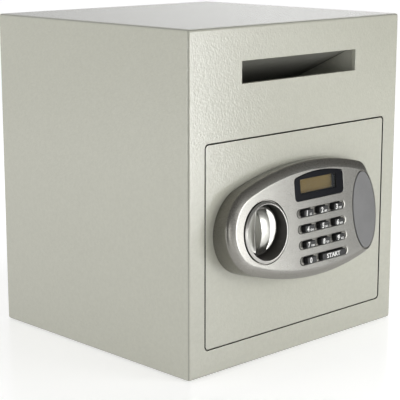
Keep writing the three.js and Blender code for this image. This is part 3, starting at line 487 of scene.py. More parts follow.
# Lock housing: a thin ABS moulding in satin silver, with a full round along its face edge.
# It leans up by a few degrees and is cut off flat against the door.
TILT = math.radians(6.5)
ON_LOCK = Matrix.Translation((0, front * MM, LOCK_Z * MM)) @ Matrix.Rotation(math.pi / 2 - TILT, 4, "X")
FACE = 26.0
HOUSING_WALL = 2.5
FILLET_WIDE = 11.0
FILLET_DEEP = 6.5
FILLET_START = 4.0
FILLET_LEAN = (5.0, 2.2)
NOSE_X = -89.0
CROWN = (3.0, 322.0, 66.0)
TAIL = (112.0, 90.0, 18.0)
GROOVE = (34.2, 35.7, 1.7)
PILL_HEIGHT = 9.6
PILL_DEPTH = 1.5
PILL_RIM = (1.5, 0.4, 0.5)
PILL_ENDS = (-25.1, 46.2)
KEY_X = -14.5
KEY_PITCH = 25.5
KEY_ROW_TOP = 8.8
KEY_ROW_PITCH = 17.95
KEY_WIDTH = 15.4
KEY_LEAD = -0.8
KEY_HEIGHT = 7.4
KEY_CORNER = 1.6
KEY_PLAY = 1.1
OVAL_RISE = -3.0
OVAL_HALF = (20.0, 45.5)
OVAL_GAP = 1.8
OVAL_SEAT = 2.8
BORE_RADIUS = 30.8
CUP_WALL = 0.5
BEZEL_X = 9.8
BEZEL_WIDTH = 83.0
BEZEL_BASE = 22.9
BEZEL_SHOULDER = 27.0
BEZEL_ARCH = 4.0
BEZEL_CORNER = 5.0
CLEAR = 60.0


def crossing(first, first_radius, second, second_radius):
    """The right-hand point where two circles cross."""
    apart = second - first
    along = (first_radius ** 2 - second_radius ** 2 + apart.length_squared) / (2 * apart.length)
    off = math.sqrt(first_radius ** 2 - along ** 2)
    step = apart.normalized()
    ends = [first + step * along + Vector((-step.y, step.x)) * off * way for way in (1, -1)]
    return max(ends, key=lambda end: end.x)


def outline(bm, arcs, height=0.0):
    """Draws a closed outline of arcs, each swept by a vertex round its centre."""
    before = set(bm.edges)
    starts, ends = [], []
    for centre, radius, start, end, steps in arcs:
        first = bm.verts.new(Vector((
            centre[0] + radius * math.cos(start), centre[1] + radius * math.sin(start), height,
        )) * MM)
        swept = bmesh.ops.spin(
            bm, geom=[first], cent=Vector((centre[0], centre[1], height)) * MM, axis=(0, 0, 1),
            angle=end - start, steps=steps, use_duplicate=False,
        )
        starts.append(first)
        ends += [v for v in swept["geom_last"] if isinstance(v, bmesh.types.BMVert)]
    for last, following in zip(ends, starts[1:] + starts[:1]):
        bm.edges.new((last, following))
    bmesh.ops.remove_doubles(bm, verts=bm.verts[:], dist=1e-5)
    return [e for e in bm.edges if e not in before]


def stack(levels):
    """Joins outlines of the same arcs at several heights into a solid with smooth sides."""
    bm = bmesh.new()
    loops = [outline(bm, arcs, height) for arcs, height in levels]
    for lower, upper in zip(loops, loops[1:]):
        bmesh.ops.bridge_loops(bm, edges=lower + upper)
    bmesh.ops.contextual_create(bm, geom=loops[0])
    bmesh.ops.contextual_create(bm, geom=loops[-1])
    bmesh.ops.recalc_face_normals(bm, faces=bm.faces[:])
    return bm


def housing_outline(inset, steps=1.0):
    """The lock's outline, a nose, two long crowns and a tail, drawn in by an inset."""
    nose = Vector((NOSE_X, 0))
    crown = Vector((CROWN[0], CROWN[2] - CROWN[1]))
    nose_radius = CROWN[1] - (nose - crown).length
    tail = Vector((TAIL[0] - TAIL[1], 0))
    corner = crossing(tail, TAIL[1] - TAIL[2], crown, CROWN[1] - TAIL[2])
    to_nose = math.atan2(nose.y - crown.y, nose.x - crown.x)
    to_corner = math.atan2(corner.y - crown.y, corner.x - crown.x)
    to_tail = math.atan2(corner.y - tail.y, corner.x - tail.x)
    many = lambda count: max(3, round(count * steps))
    return [
        (tail, TAIL[1] - inset, -to_tail, to_tail, many(28)),
        (corner, TAIL[2] - inset, to_tail, to_corner, many(14)),
        (crown, CROWN[1] - inset, to_corner, to_nose, many(60)),
        (nose, nose_radius - inset, to_nose, 2 * math.pi - to_nose, many(72)),
        ((crown.x, -crown.y), CROWN[1] - inset, -to_nose, -to_corner, many(60)),
        ((corner.x, -corner.y), TAIL[2] - inset, -to_corner, -to_tail, many(14)),
    ]


def oval(grow, low, high):
    """The override cover's outline as a prism."""
    bm = bmesh.new()
    place = Matrix.Translation(Vector((OVAL_X, OVAL_RISE, 0)) * MM)
    wide, tall = (half + grow for half in OVAL_HALF)
    bmesh.ops.create_circle(
        bm, cap_ends=True, segments=112, radius=MM, matrix=place @ Matrix.Diagonal((wide, tall, 1, 1)),
    )
    return thicken(bm, low, high)


def pillar(x, y, radius, low, high, sides=96):
    """A round bar along local Z."""
    bm = bmesh.new()
    bmesh.ops.create_circle(
        bm, cap_ends=True, segments=sides, radius=radius * MM,
        matrix=Matrix.Translation((x * MM, y * MM, 0)),
    )
    return thicken(bm, low, high)


def bezel_outline(grow, low, high):
    """The display bezel's outline, with an arched top, as a prism."""
    left, right = BEZEL_X - BEZEL_WIDTH / 2 - grow, BEZEL_X + BEZEL_WIDTH / 2 + grow
    base, shoulder = BEZEL_BASE - grow, BEZEL_BASE + BEZEL_SHOULDER + grow
    half = BEZEL_WIDTH / 2 + grow - BEZEL_CORNER
    arch = (half ** 2 + BEZEL_ARCH ** 2) / (2 * BEZEL_ARCH)
    sweep = math.asin(half / arch)
    quarter = math.pi / 2
    bm = bmesh.new()
    loop = outline(bm, [
        ((right - BEZEL_CORNER, base + BEZEL_CORNER), BEZEL_CORNER, -quarter, 0, 8),
        ((right - BEZEL_CORNER, shoulder - BEZEL_CORNER), BEZEL_CORNER, 0, quarter - sweep, 8),
        ((BEZEL_X, shoulder + BEZEL_ARCH - arch), arch, quarter - sweep, quarter + sweep, 24),
        ((left + BEZEL_CORNER, shoulder - BEZEL_CORNER), BEZEL_CORNER, quarter + sweep, math.pi, 8),
        ((left + BEZEL_CORNER, base + BEZEL_CORNER), BEZEL_CORNER, math.pi, 3 * quarter, 8),
    ])
    bmesh.ops.contextual_create(bm, geom=loop)
    return thicken(bm, low, high)


def round_edge(step):
    """Inset and height of the edge between the wall, at 0, and the crease on the face, at 1."""
    rest = 1 - step
    inset = 3 * step ** 2 * rest * FILLET_LEAN[0] + step ** 3 * FILLET_WIDE
    drop = rest ** 3 * FILLET_DEEP + 3 * step * rest * (rest * FILLET_START + step * FILLET_LEAN[1])
    return inset, FACE - drop


def pill_outline(y, spread, grow):
    """The outline of a key row's recess, longer by a spread at each end and grown all round."""
    quarter = math.pi / 2
    return [
        ((PILL_ENDS[1] + spread, y), PILL_HEIGHT / 2 + grow, -quarter, quarter, 14),
        ((PILL_ENDS[0] - spread, y), PILL_HEIGHT / 2 + grow, quarter, 3 * quarter, 14),
    ]


housing_levels = [(housing_outline(0), -FACE)]
for step in range(13):
    inset, height = round_edge(step / 12)
    housing_levels.append((housing_outline(inset), height))
housing = make(stack(housing_levels), "lock_cover", ON_LOCK)
carve(housing, "DIFFERENCE", make(stack([
    (housing_outline(HOUSING_WALL, 0.5), -CLEAR),
    (housing_outline(HOUSING_WALL, 0.5), FACE - FILLET_DEEP),
    (housing_outline(FILLET_WIDE * 0.7, 0.5), FACE - HOUSING_WALL),
]), "room", ON_LOCK))
carve(housing, "UNION", make(
    oval(3.0, FACE - HOUSING_WALL - 3.0, FACE - HOUSING_WALL / 2), "oval_seat", ON_LOCK,
))
door_side = make(block((-200, front - 0.3, 0), (200, front + CLEAR, 300)), "door_side")
carve(housing, "DIFFERENCE", door_side)

ring_centre = (KNOB_X, -math.tan(TILT) * FACE)
groove_bm = pillar(*ring_centre, GROOVE[1], FACE - GROOVE[2], FACE + OVERSHOOT, 128)
groove = make(groove_bm, "groove", ON_LOCK)
carve(groove, "DIFFERENCE", make(pillar(*ring_centre, GROOVE[0], 0, CLEAR, 128), "groove_core", ON_LOCK))
bore = make(pillar(KNOB_X, LOCK_Z, BORE_RADIUS + CUP_WALL + 0.3, 0, CLEAR, 128), "knob_bore", ON_DOOR)
carve(
    housing, "DIFFERENCE", groove, bore,
    make(oval(OVAL_GAP, FACE - OVAL_SEAT, FACE + OVERSHOOT), "oval_recess", ON_LOCK),
    make(oval(-2.5, 0, FACE + OVERSHOOT), "oval_hole", ON_LOCK),
    make(bezel_outline(0.3, 0, FACE + OVERSHOOT), "bezel_hole", ON_LOCK),
)
key_rows = [KEY_ROW_TOP - KEY_ROW_PITCH * row for row in range(4)]
for y in key_rows:
    carve(housing, "DIFFERENCE", make(stack([
        (pill_outline(y, 0, 0), FACE - PILL_DEPTH),
        (pill_outline(y, 0, 0), FACE - PILL_RIM[2]),
        (pill_outline(y, 2 * PILL_RIM[0], 2 * PILL_RIM[1]), FACE + PILL_RIM[2]),
        (pill_outline(y, 2 * PILL_RIM[0], 2 * PILL_RIM[1]), FACE + OVERSHOOT),
    ]), "pill", ON_LOCK))
key_names = ["1", "2", "3", "4", "5", "6", "7", "8", "9", "0", "enter"]
keys = {}
for count, key_name in enumerate(key_names):
    wide = key_name == "enter"
    column = count % 3 + (0.5 if wide else 0)
    keys[key_name] = (
        KEY_X + KEY_LEAD + KEY_PITCH * column, key_rows[count // 3],
        (KEY_WIDTH + (KEY_PITCH if wide else 0)) / 2,
    )
for x, y, half in keys.values():
    carve(housing, "DIFFERENCE", make(block(
        (x - half - KEY_PLAY, y - KEY_HEIGHT / 2 - KEY_PLAY + 0.1, 0),
        (x + half + KEY_PLAY, y + KEY_HEIGHT / 2 + KEY_PLAY - 0.1, FACE), KEY_CORNER, along=2, steps=4,
    ), "key_hole", ON_LOCK))
to_lock = ON_LOCK.inverted()


def off_pills(edge):
    """Whether an edge of the face lies clear of the recesses of the key rows."""
    for vertex in edge.verts:
        spot = to_lock @ vertex.co / MM
        past_end = max(PILL_ENDS[0] - spot.x, spot.x - PILL_ENDS[1], 0)
        near = any(math.hypot(past_end, spot.y - y) < PILL_HEIGHT / 2 + 2.2 for y in key_rows)
        if near and spot.z > FACE - PILL_DEPTH - 0.2:
            return False
    return True


ease(housing, 0.35, only=off_pills)
shade(housing)


SIDE_SHADE_TURN = (4.6, 6.3)


def silver_paint():
    """Satin silver on the face, painted darker down the side walls below the round edge: painted shade for
    the dim sides.
    """
    material = finish(
        "silver_paint", (160, 159, 154), tint=(154, 153, 148), patch=40, rough=0.28, metal=0.85,
        grain=1600, relief=0.02,
    )
    nodes, links = material.node_tree.nodes, material.node_tree.links
    shader = nodes["Principled BSDF"]
    tones = next(n for n in nodes if n.type == "VALTORGB")
    where = next(n for n in nodes if n.type == "TEX_COORD")
    out = nodes.new("ShaderNodeVectorMath")
    out.operation = "DOT_PRODUCT"
    out.inputs[1].default_value = ON_LOCK.to_3x3() @ Vector((0, 0, 1))
    links.new(where.outputs["Object"], out.inputs[0])
    plane = (ON_LOCK @ Vector((0, 0, (FACE - FILLET_DEEP) * MM))).dot(ON_LOCK.to_3x3() @ Vector((0, 0, 1)))
    # Painted shade: below the round edge the silver blends into a darker tone.
    depth = ranged(
        material.node_tree, out.outputs["Value"], plane + SIDE_SHADE_TURN[0] * MM, plane + SIDE_SHADE_TURN[1] * MM,
    )
    blend = nodes.new("ShaderNodeMix")
    blend.data_type = "RGBA"
    blend.inputs["A"].default_value = (*linear(138, 136, 130), 1)
    links.new(depth, blend.inputs["Factor"])
    links.new(tones.outputs["Color"], blend.inputs["B"])
    links.new(blend.outputs["Result"], shader.inputs["Base Color"])
    return material


silver = silver_paint()
joint_shade = finish("joint_shade", (40, 39, 37), tint=(34, 33, 31), patch=60, rough=0.6, specular=0.2)
dress(housing, "door", "silver_plastic", silver, joint_shade)
# Painted shade: the ring's groove, a dark joint line, is darkened further, and so are the left walls of the
# oval's gap and the shadow-side chamfers of the key recesses.
for face in housing.data.polygons:
    centre = to_lock @ face.center / MM
    from_ring = math.hypot(centre.x - ring_centre[0], centre.y - ring_centre[1])
    tipped = abs((to_lock.to_3x3() @ face.normal).z) < 0.985
    from_oval = math.hypot((centre.x - OVAL_X) / OVAL_HALF[0], (centre.y - OVAL_RISE) / OVAL_HALF[1])
    past_end = max(PILL_ENDS[0] - centre.x, centre.x - PILL_ENDS[1], 0)
    in_pill = any(-0.5 < math.hypot(past_end, centre.y - y) - PILL_HEIGHT / 2 < 2.2 for y in key_rows)
    if GROOVE[0] - 0.1 < from_ring < GROOVE[1] + 0.1 and FACE - GROOVE[2] - 0.1 < centre.z < FACE - 0.45:
        face.material_index = 1
    elif (
        0.98 < from_oval < 1.14 and centre.x < OVAL_X and abs(centre.y - OVAL_RISE) < 37
        and FACE - OVAL_SEAT - 0.1 < centre.z < FACE - 0.2
    ):
        face.material_index = 1
    elif tipped and in_pill and FACE - PILL_DEPTH - 0.1 < centre.z < FACE - 0.02:
        lean = to_lock.to_3x3() @ face.normal
        face.material_index = 1 if lean.x > 0.12 or lean.y < -0.3 and lean.x > -0.12 else 0
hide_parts("lock_housing")


# Knob cup: a dark moulded tube square to the door, with a bright bevelled ring on its rim
# that stands on the tilted face. The groove round it is a joint line in the housing.
RING_OUTER = 34.2
RING_RISE = 2.4
CUP_FLOOR = (7.0, 8.5)
HUB_HOLE = 8.1

ring_bm = turned([
    (BORE_RADIUS - 4, 0.3), (RING_OUTER, 0.3), (RING_OUTER, 0.75), (RING_OUTER - 0.3, 1.0),
    (BORE_RADIUS + 1.1, RING_RISE - 0.25), (BORE_RADIUS + 0.7, RING_RISE),
    (BORE_RADIUS + 0.35, RING_RISE - 0.05), (BORE_RADIUS + 0.05, RING_RISE - 0.4),
    (BORE_RADIUS - 4, RING_RISE - 0.4), (BORE_RADIUS - 4, 0.3),
])
ring_turn = ON_LOCK @ Matrix.Translation(Vector((*ring_centre, FACE)) * MM)
ring = make(ring_bm, "knob_ring", ring_turn)
tube = make(pillar(
    KNOB_X, LOCK_Z, BORE_RADIUS + CUP_WALL, CUP_FLOOR[0], FACE + RING_OUTER, 128,
), "cup", ON_DOOR)
carve(tube, "DIFFERENCE", make(
    pillar(*ring_centre, CLEAR, FACE + 1.2, FACE + CLEAR, 24), "above_ring", ON_LOCK,
))
carve(ring, "UNION", tube)
carve(
    ring, "DIFFERENCE",
    make(pillar(KNOB_X, LOCK_Z, BORE_RADIUS, CUP_FLOOR[1], FACE + CLEAR, 128), "bore", ON_DOOR),
    make(pillar(KNOB_X, LOCK_Z, HUB_HOLE, 0, FACE, 48), "hub_hole", ON_DOOR),
)
shade(ring, 30)
bright_ring = finish(
    "ring_silver", (200, 199, 194), tint=(192, 191, 187), patch=60, rough=0.3, metal=1.0,
    grain=1800, relief=0.008,
)
dark_plastic = finish(
    "dark_plastic", (80, 78, 74), tint=(72, 71, 68), patch=60, rough=0.42, grain=2200, relief=0.02,
)
dress(ring, "door", "dark_plastic", dark_plastic, bright_ring)
for face in ring.data.polygons:
    centre = to_lock @ face.center
    out_of_bore = math.hypot(centre.x / MM - ring_centre[0], centre.y / MM - ring_centre[1])
    if centre.z / MM > FACE and out_of_bore > BORE_RADIUS + 0.04:
        face.material_index = 1
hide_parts("knob_cup")


# Knob: a chromed die casting, a dished disc with a domed bar across it to grip.
# It turns a quarter turn with its spindle and the cam behind the door.
KNOB_RADIUS = 28.0
KNOB_RIM = 17.0
KNOB_THICK = 5.5
KNOB_EDGE = 3.2
DISH = 1.7
DISH_RADIUS = 178.0
DOME_RADIUS = 38.8
CREST = 26.0
GRIP_HALF = 7.2
HUB_RADIUS = 7.5

dish_floor = KNOB_RIM - DISH
dish_reach = math.degrees(math.asin((KNOB_RADIUS - KNOB_EDGE - 0.2) / DISH_RADIUS))
disc = make(turned([
    (0, CUP_FLOOR[0] + 0.4), (HUB_RADIUS, CUP_FLOOR[0] + 0.4), (HUB_RADIUS, KNOB_RIM - KNOB_THICK),
    (KNOB_RADIUS - 0.6, KNOB_RIM - KNOB_THICK), (KNOB_RADIUS, KNOB_RIM - KNOB_THICK + 0.6),
    *arc(KNOB_RADIUS - KNOB_EDGE, KNOB_RIM - KNOB_EDGE, KNOB_EDGE, 0, 90, 10),
    *arc(0, dish_floor + DISH_RADIUS, DISH_RADIUS, dish_reach - 90, -90, 16),
], 144), "knob_disc", ON_DOOR @ Matrix.Translation(Vector((KNOB_X, LOCK_Z, 0)) * MM))
dome_reach = math.degrees(math.asin((KNOB_RADIUS - 1.3) / DOME_RADIUS))
dome = make(turned([
    (0, dish_floor - 2), (KNOB_RADIUS - 1.3, dish_floor - 2),
    *arc(0, CREST - DOME_RADIUS, DOME_RADIUS, 90 - dome_reach, 90, 24),
], 144), "knob_dome", ON_DOOR @ Matrix.Translation(Vector((KNOB_X, LOCK_Z, 0)) * MM))
carve(dome, "INTERSECT", make(block(
    (KNOB_X - GRIP_HALF, front - 40, LOCK_Z - 40), (KNOB_X + GRIP_HALF, front, LOCK_Z + 40),
), "grip_sides"))
carve(disc, "UNION", dome)
dish_level = (front - dish_floor - 0.15) * MM
ease(disc, 1.2, crease=50, steps=4, only=lambda edge: all(v.co.y < dish_level for v in edge.verts))
shade(disc, 32)
chrome = finish("chrome", (214, 213, 207), tint=(208, 208, 202), patch=30, rough=0.31, metal=1.0)
knob_rim_shade = finish("knob_rim_shade", (98, 97, 93), tint=(92, 91, 87), patch=60, rough=0.4, metal=0.6)
dress(disc, "knob_body", "bright_chrome", chrome, knob_rim_shade)
# Painted shade: the disc's rounded rim takes a darker grey, where the cup's wall shades it.
for face in disc.data.polygons:
    off_axis = math.hypot(face.center.x / MM - KNOB_X, face.center.z / MM - LOCK_Z)
    if off_axis > KNOB_RADIUS - KNOB_EDGE - 0.1 and front - face.center.y / MM < KNOB_RIM + 0.1:
        face.material_index = 1
disc.name = "turn_knob"
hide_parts("knob")
redress("knob_spindle", zinc)
redress("drive_cam", zinc)


# Display: a gloss black bezel with an arched top, pressed into the housing, a clear lens
# set into its window, and the amber panel at the bottom of the tunnel.
WINDOW = (8.0, 30.4, 61.0, 16.4)
BEZEL_PROUD = 0.4
TUNNEL = 7.0
bezel_top = FACE + BEZEL_PROUD
bezel_bm = bezel_outline(0, bezel_top - 3.4, bezel_top)
round_off(bezel_bm, rim(bezel_bm, bezel_top), 0.9, 4)
bezel = make(bezel_bm, "display_frame", ON_LOCK)


def window_block(grow, low, high, corner=1.0):
    """A block round the display's window."""
    x, y, wide, tall = WINDOW
    return block(
        (x - wide / 2 - grow, y - grow, low), (x + wide / 2 + grow, y + tall + grow, high),
        corner, along=2, steps=4,
    )


carve(bezel, "UNION", make(window_block(1.6, bezel_top - TUNNEL, bezel_top - 1.7), "tunnel", ON_LOCK))
carve(bezel, "DIFFERENCE", make(window_block(0, 0, FACE + OVERSHOOT), "window", ON_LOCK))
ease(bezel, 0.5, crease=60, steps=3)
shade(bezel)
black_gloss = finish(
    "black_gloss", (11, 13, 20), tint=(9, 11, 17), patch=50, rough=0.3, grain=2400, relief=0.006,
    specular=0.12,
)
tunnel_black = finish("tunnel_black", (16, 15, 12), tint=(13, 12, 10), patch=60, rough=0.9, specular=0.02)
dress(bezel, "door", "black_gloss", black_gloss, tunnel_black)
for face in bezel.data.polygons:
    centre = to_lock @ face.center / MM
    if centre.z < bezel_top - 0.5 and abs(centre.x - WINDOW[0]) < WINDOW[2] / 2 + 0.1:
        face.material_index = 1
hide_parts("display_bezel")

amber = finish("amber_panel", (122, 101, 50), tint=(116, 98, 50), patch=90, rough=0.6, specular=0.1)
redress("display_lcd", amber)

lens_bm = window_block(0.4, bezel_top - 2.2, bezel_top - 1.2, 0.7)
round_off(lens_bm, rim(lens_bm, bezel_top - 1.2), 0.2, 2)
lens = make(lens_bm, "display_lens", ON_LOCK)
shade(lens)
clear = finish("clear_lens", (230, 236, 236), tint=(224, 232, 234), patch=40, rough=0.06)
clear.node_tree.nodes["Principled BSDF"].inputs["Alpha"].default_value = 0.03
dress(lens, "door", "clear_lens", clear)
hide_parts("display_window")


# Keys: moulded silicone caps, each with a flange under the face and a stem over its contact.
# The digits are printed in white, with small letters beside them.
KEY_PROUD = 4.2
KEY_FLANGE = 1.3
BOARD_TOP = 13.0
PRINT_THICKNESS = 0.04
DIGIT_HEIGHT = 6.2
LETTER_HEIGHT = 2.6
LETTER_WIDTH = 1.8
LETTERS_ROOM = 5.2
WORD_HEIGHT = 5.2
WORD_WIDTH = 23.4
letters = {
    "1": "QZ", "2": "ABC", "3": "DEF", "4": "GHI", "5": "JKL",
    "6": "MNO", "7": "PQRS", "8": "TUV", "9": "WXYZ",
}
rubber = finish(
    "key_rubber", (30, 30, 31), tint=(24, 24, 25), patch=150, rough=0.38, grain=2000, relief=0.015,
)
key_print = finish("key_print", (246, 246, 243), tint=(240, 240, 236), patch=400, rough=0.5)


def printed(words, height, width, x, y, lean, level):
    """Words as a thin printed layer, centred on a point of the lock face."""
    curve = bpy.data.curves.new("print", "FONT")
    curve.body = words
    curve.align_x = "CENTER"
    curve.align_y = "CENTER"
    curve.shear = lean
    curve.offset = 0.03
    curve.resolution_u = 4
    holder = bpy.data.objects.new("print", curve)
    scene.collection.objects.link(holder)
    bpy.context.view_layer.update()
    mesh = bpy.data.meshes.new_from_object(holder.evaluated_get(bpy.context.evaluated_depsgraph_get()))
    bpy.data.objects.remove(holder)
    bm = bmesh.new()
    bm.from_mesh(mesh)
    bmesh.ops.remove_doubles(bm, verts=bm.verts[:], dist=1e-5)
    low = Vector([min(v.co[axis] for v in bm.verts) for axis in range(3)])
    high = Vector([max(v.co[axis] for v in bm.verts) for axis in range(3)])
    tall = height * MM / (high.y - low.y)
    broad = width * MM / (high.x - low.x)
    bmesh.ops.translate(bm, verts=bm.verts[:], vec=-(low + high) / 2)
    bm.transform(Matrix.Translation(Vector((x, y, level)) * MM) @ Matrix.Diagonal((broad, tall, 1, 1)))
    grown = bmesh.ops.extrude_face_region(bm, geom=bm.faces[:])
    raised = [v for v in grown["geom"] if isinstance(v, bmesh.types.BMVert)]
    bmesh.ops.translate(bm, verts=raised, vec=(0, 0, PRINT_THICKNESS * MM))
    for face in bm.faces:
        face.material_index = 1
    return bm


for key_name, (x, y, half) in keys.items():
    cap_top = FACE + KEY_PROUD
    cap_bm = block(
        (x - half, y - KEY_HEIGHT / 2, FACE - 4.0), (x + half, y + KEY_HEIGHT / 2, cap_top),
        KEY_CORNER, along=2, steps=5,
    )
    round_off(cap_bm, rim(cap_bm, cap_top), 0.8, 4)
    key = make(cap_bm, f"{key_name}_key", ON_LOCK)
    carve(key, "UNION", make(block(
        (x - half - KEY_FLANGE, y - KEY_HEIGHT / 2 - KEY_FLANGE, FACE - 4.7),
        (x + half + KEY_FLANGE, y + KEY_HEIGHT / 2 + KEY_FLANGE, FACE - 3.3), KEY_CORNER, along=2, steps=3,
    ), "flange", ON_LOCK))
    carve(key, "UNION", make(pillar(x, y, 2.0, BOARD_TOP + 1.5, FACE - 4.0, 24), "stem", ON_LOCK))
    if key_name == "enter":
        prints = [printed("START", WORD_HEIGHT, WORD_WIDTH, x - 1.5, y, 0.0, cap_top)]
    elif key_name == "0":
        prints = [printed("0", DIGIT_HEIGHT, 3.8, x - 2.2, y, 0.1, cap_top)]
    else:
        narrow = 2.4 if key_name == "1" else 4.0
        prints = [printed(key_name, DIGIT_HEIGHT, narrow, x - 3.4, y, 0.15, cap_top)]
        if key_name in letters:
            spread = min(LETTERS_ROOM, LETTER_WIDTH * len(letters[key_name]))
            prints.append(printed(letters[key_name], LETTER_HEIGHT, spread, x + 2.6, y - 1.8, 0.0, cap_top))
    bm = bmesh.new()
    bm.from_mesh(key.data)
    for layer in prints:
        layer.transform(ON_LOCK)
        ink = bpy.data.meshes.new("ink")
        layer.to_mesh(ink)
        layer.free()
        bm.from_mesh(ink)
    bm.to_mesh(key.data)
    bm.free()
    shade(key)
    dress(key, f"key_{key_name}_body", "black_rubber", rubber, key_print)
    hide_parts(f"key_{key_name}")


# Key board behind the face: green solder mask, with the display's riser.
# It is clipped into the housing and carries the contacts.
board = finish(
    "solder_mask", (30, 92, 52), tint=(24, 80, 44), patch=120, rough=0.35, grain=700, relief=0.03,
)
redress("keypad_board", board)


# Override cover: a matte grey oval that snaps into a recess at the right end of the lock.
# Behind it sits a brass key lock, for when the batteries are flat.
OVAL_THICKNESS = 2.4
OVAL_EDGE = 1.1
cover_bm = oval(0, FACE - OVAL_THICKNESS, FACE)
round_off(cover_bm, rim(cover_bm, FACE), OVAL_EDGE, 5)
oval_cover = make(cover_bm, "oval_cover", ON_LOCK)
shade(oval_cover)
matte_grey = finish(
    "matte_grey", (122, 122, 122), tint=(118, 118, 118), patch=45, rough=0.5, metal=0.1, grain=2400,
    relief=0.02,
)
dress(oval_cover, "override_cover_body", "cover_grey", matte_grey)
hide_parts("override_cover")

turned_brass = finish(
    "turned_brass", (196, 164, 96), tint=(184, 150, 84), patch=200, rough=0.3, metal=1.0,
    grain=1200, relief=0.02,
)
PLUG_RADIUS = 6.0
PLUG_PLAY = 0.3
CYLINDER_RADIUS = 9.5
low, high, (across, up, _) = room_of("override_cylinder")
outer, inner = front - low.y, front - high.y
barrel = spun("lock_barrel", [
    (PLUG_RADIUS + PLUG_PLAY, inner), (CYLINDER_RADIUS - 0.4, inner), (CYLINDER_RADIUS, inner + 0.4),
    (CYLINDER_RADIUS, outer - 0.8), (CYLINDER_RADIUS - 0.8, outer), (PLUG_RADIUS + 0.8, outer),
    (PLUG_RADIUS + PLUG_PLAY, outer - 0.5), (PLUG_RADIUS + PLUG_PLAY, inner),
], (across, up, 0))
shade(barrel, 30)
dress(barrel, "door", "brass", turned_brass)
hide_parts("override_cylinder")

TAIL_LENGTH = 15.0
TAIL_THICKNESS = 2.0
low, high, _ = room_of("override_plug")
inner = front - high.y
plug = spun("lock_plug", [
    (0, inner), (PLUG_RADIUS - 0.3, inner), (PLUG_RADIUS, inner + 0.3), (PLUG_RADIUS, outer - 0.4),
    (PLUG_RADIUS - 0.4, outer), (0, outer),
], (across, up, 0))
carve(plug, "UNION", make(block(
    (across - 2.5, up, inner), (across + 2.5, up + TAIL_LENGTH, inner + TAIL_THICKNESS), 1.5, along=2,
), "lock_tail", ON_DOOR))
carve(
    plug, "DIFFERENCE",
    make(block(
        (across - 0.9, up - 3.75, outer - 14), (across + 0.9, up + 3.75, outer + 1),
    ), "keyway", ON_DOOR),
    make(block((across, up - 1.4, outer - 14), (across + 1.6, up + 0.2, outer + 1)), "ward", ON_DOOR),
)
ease(plug, 0.15)
shade(plug)
dress(plug, "override_plug_body", "brass", turned_brass)
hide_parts("override_plug")


# Bolt work: a flat bar with two round live bolts, which slides in two angle guides.
# The bolts are bright steel, and the bar, guides and pan-head screws are zinc plated.
BOLT_RADIUS = 7.0
BOLT_NOSE = 1.5
for node in ("bolt_bar", "bolt_guide_lower", "bolt_guide_upper", "solenoid_body"):
    redress(node, zinc)
redress("solenoid_plunger", chrome)
bolt_steel = finish(
    "bolt_steel", (206, 206, 203), tint=(198, 198, 196), patch=60, rough=0.24, metal=1.0, grain=900,
    relief=0.01,
)
for place in ("lower", "upper"):
    low, high, (across, up, out) = room_of(f"bolt_{place}")
    length = high.x - low.x
    bolt = spun(f"live_bolt_{place}", [
        (0, 1.2), (1.4, 0), (BOLT_RADIUS - BOLT_NOSE, 0),
        *arc(BOLT_RADIUS - BOLT_NOSE, BOLT_NOSE, BOLT_NOSE, -90, 0, 6)[1:],
        (BOLT_RADIUS, length - 0.5), (BOLT_RADIUS - 0.5, length), (0, length),
    ], (low.x, up, out), TO_RIGHT)
    shade(bolt)
    dress(bolt, "bolt_body", "bright_chrome", bolt_steel)
    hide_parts(f"bolt_{place}")

SCREW_RADIUS = 2.0
SCREW_HEAD_RADIUS = 4.0
SCREW_HEAD = 2.2
RECESS_HALF = (2.1, 0.45)
RECESS_DEEP = 1.3


def pan_screw(node, number):
    """A pan-head screw driven from behind the door, its cross recess turned to its own angle."""
    low, high, (across, up, _) = room_of(node)
    head, tip = front - high.y, front - low.y
    dome = SCREW_HEAD - 0.6
    piece = spun(f"{node}_turned", [
        (0, head), *arc(SCREW_HEAD_RADIUS - dome, head + dome, dome, -90, 0, 6),
        (SCREW_HEAD_RADIUS, head + SCREW_HEAD), (SCREW_RADIUS, head + SCREW_HEAD),
        (SCREW_RADIUS, tip - 1.2), (SCREW_RADIUS - 1.2, tip), (0, tip),
    ], (across, up, 0), OUTWARDS, 48)
    for quarter in (0, 1):
        angle = Matrix.Rotation(math.radians(37 * number + 90 * quarter), 4, "Z")
        carve(piece, "DIFFERENCE", make(block(
            (-RECESS_HALF[0], -RECESS_HALF[1], head - 1),
            (RECESS_HALF[0], RECESS_HALF[1], head + RECESS_DEEP),
        ), "recess", ON_DOOR @ Matrix.Translation(Vector((across, up, 0)) * MM) @ angle))
    shade(piece)
    dress(piece, "door", "zinc_steel", zinc)
    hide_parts(node)


for count in (1, 2):
    pan_screw(f"housing_screw_{count}", count)


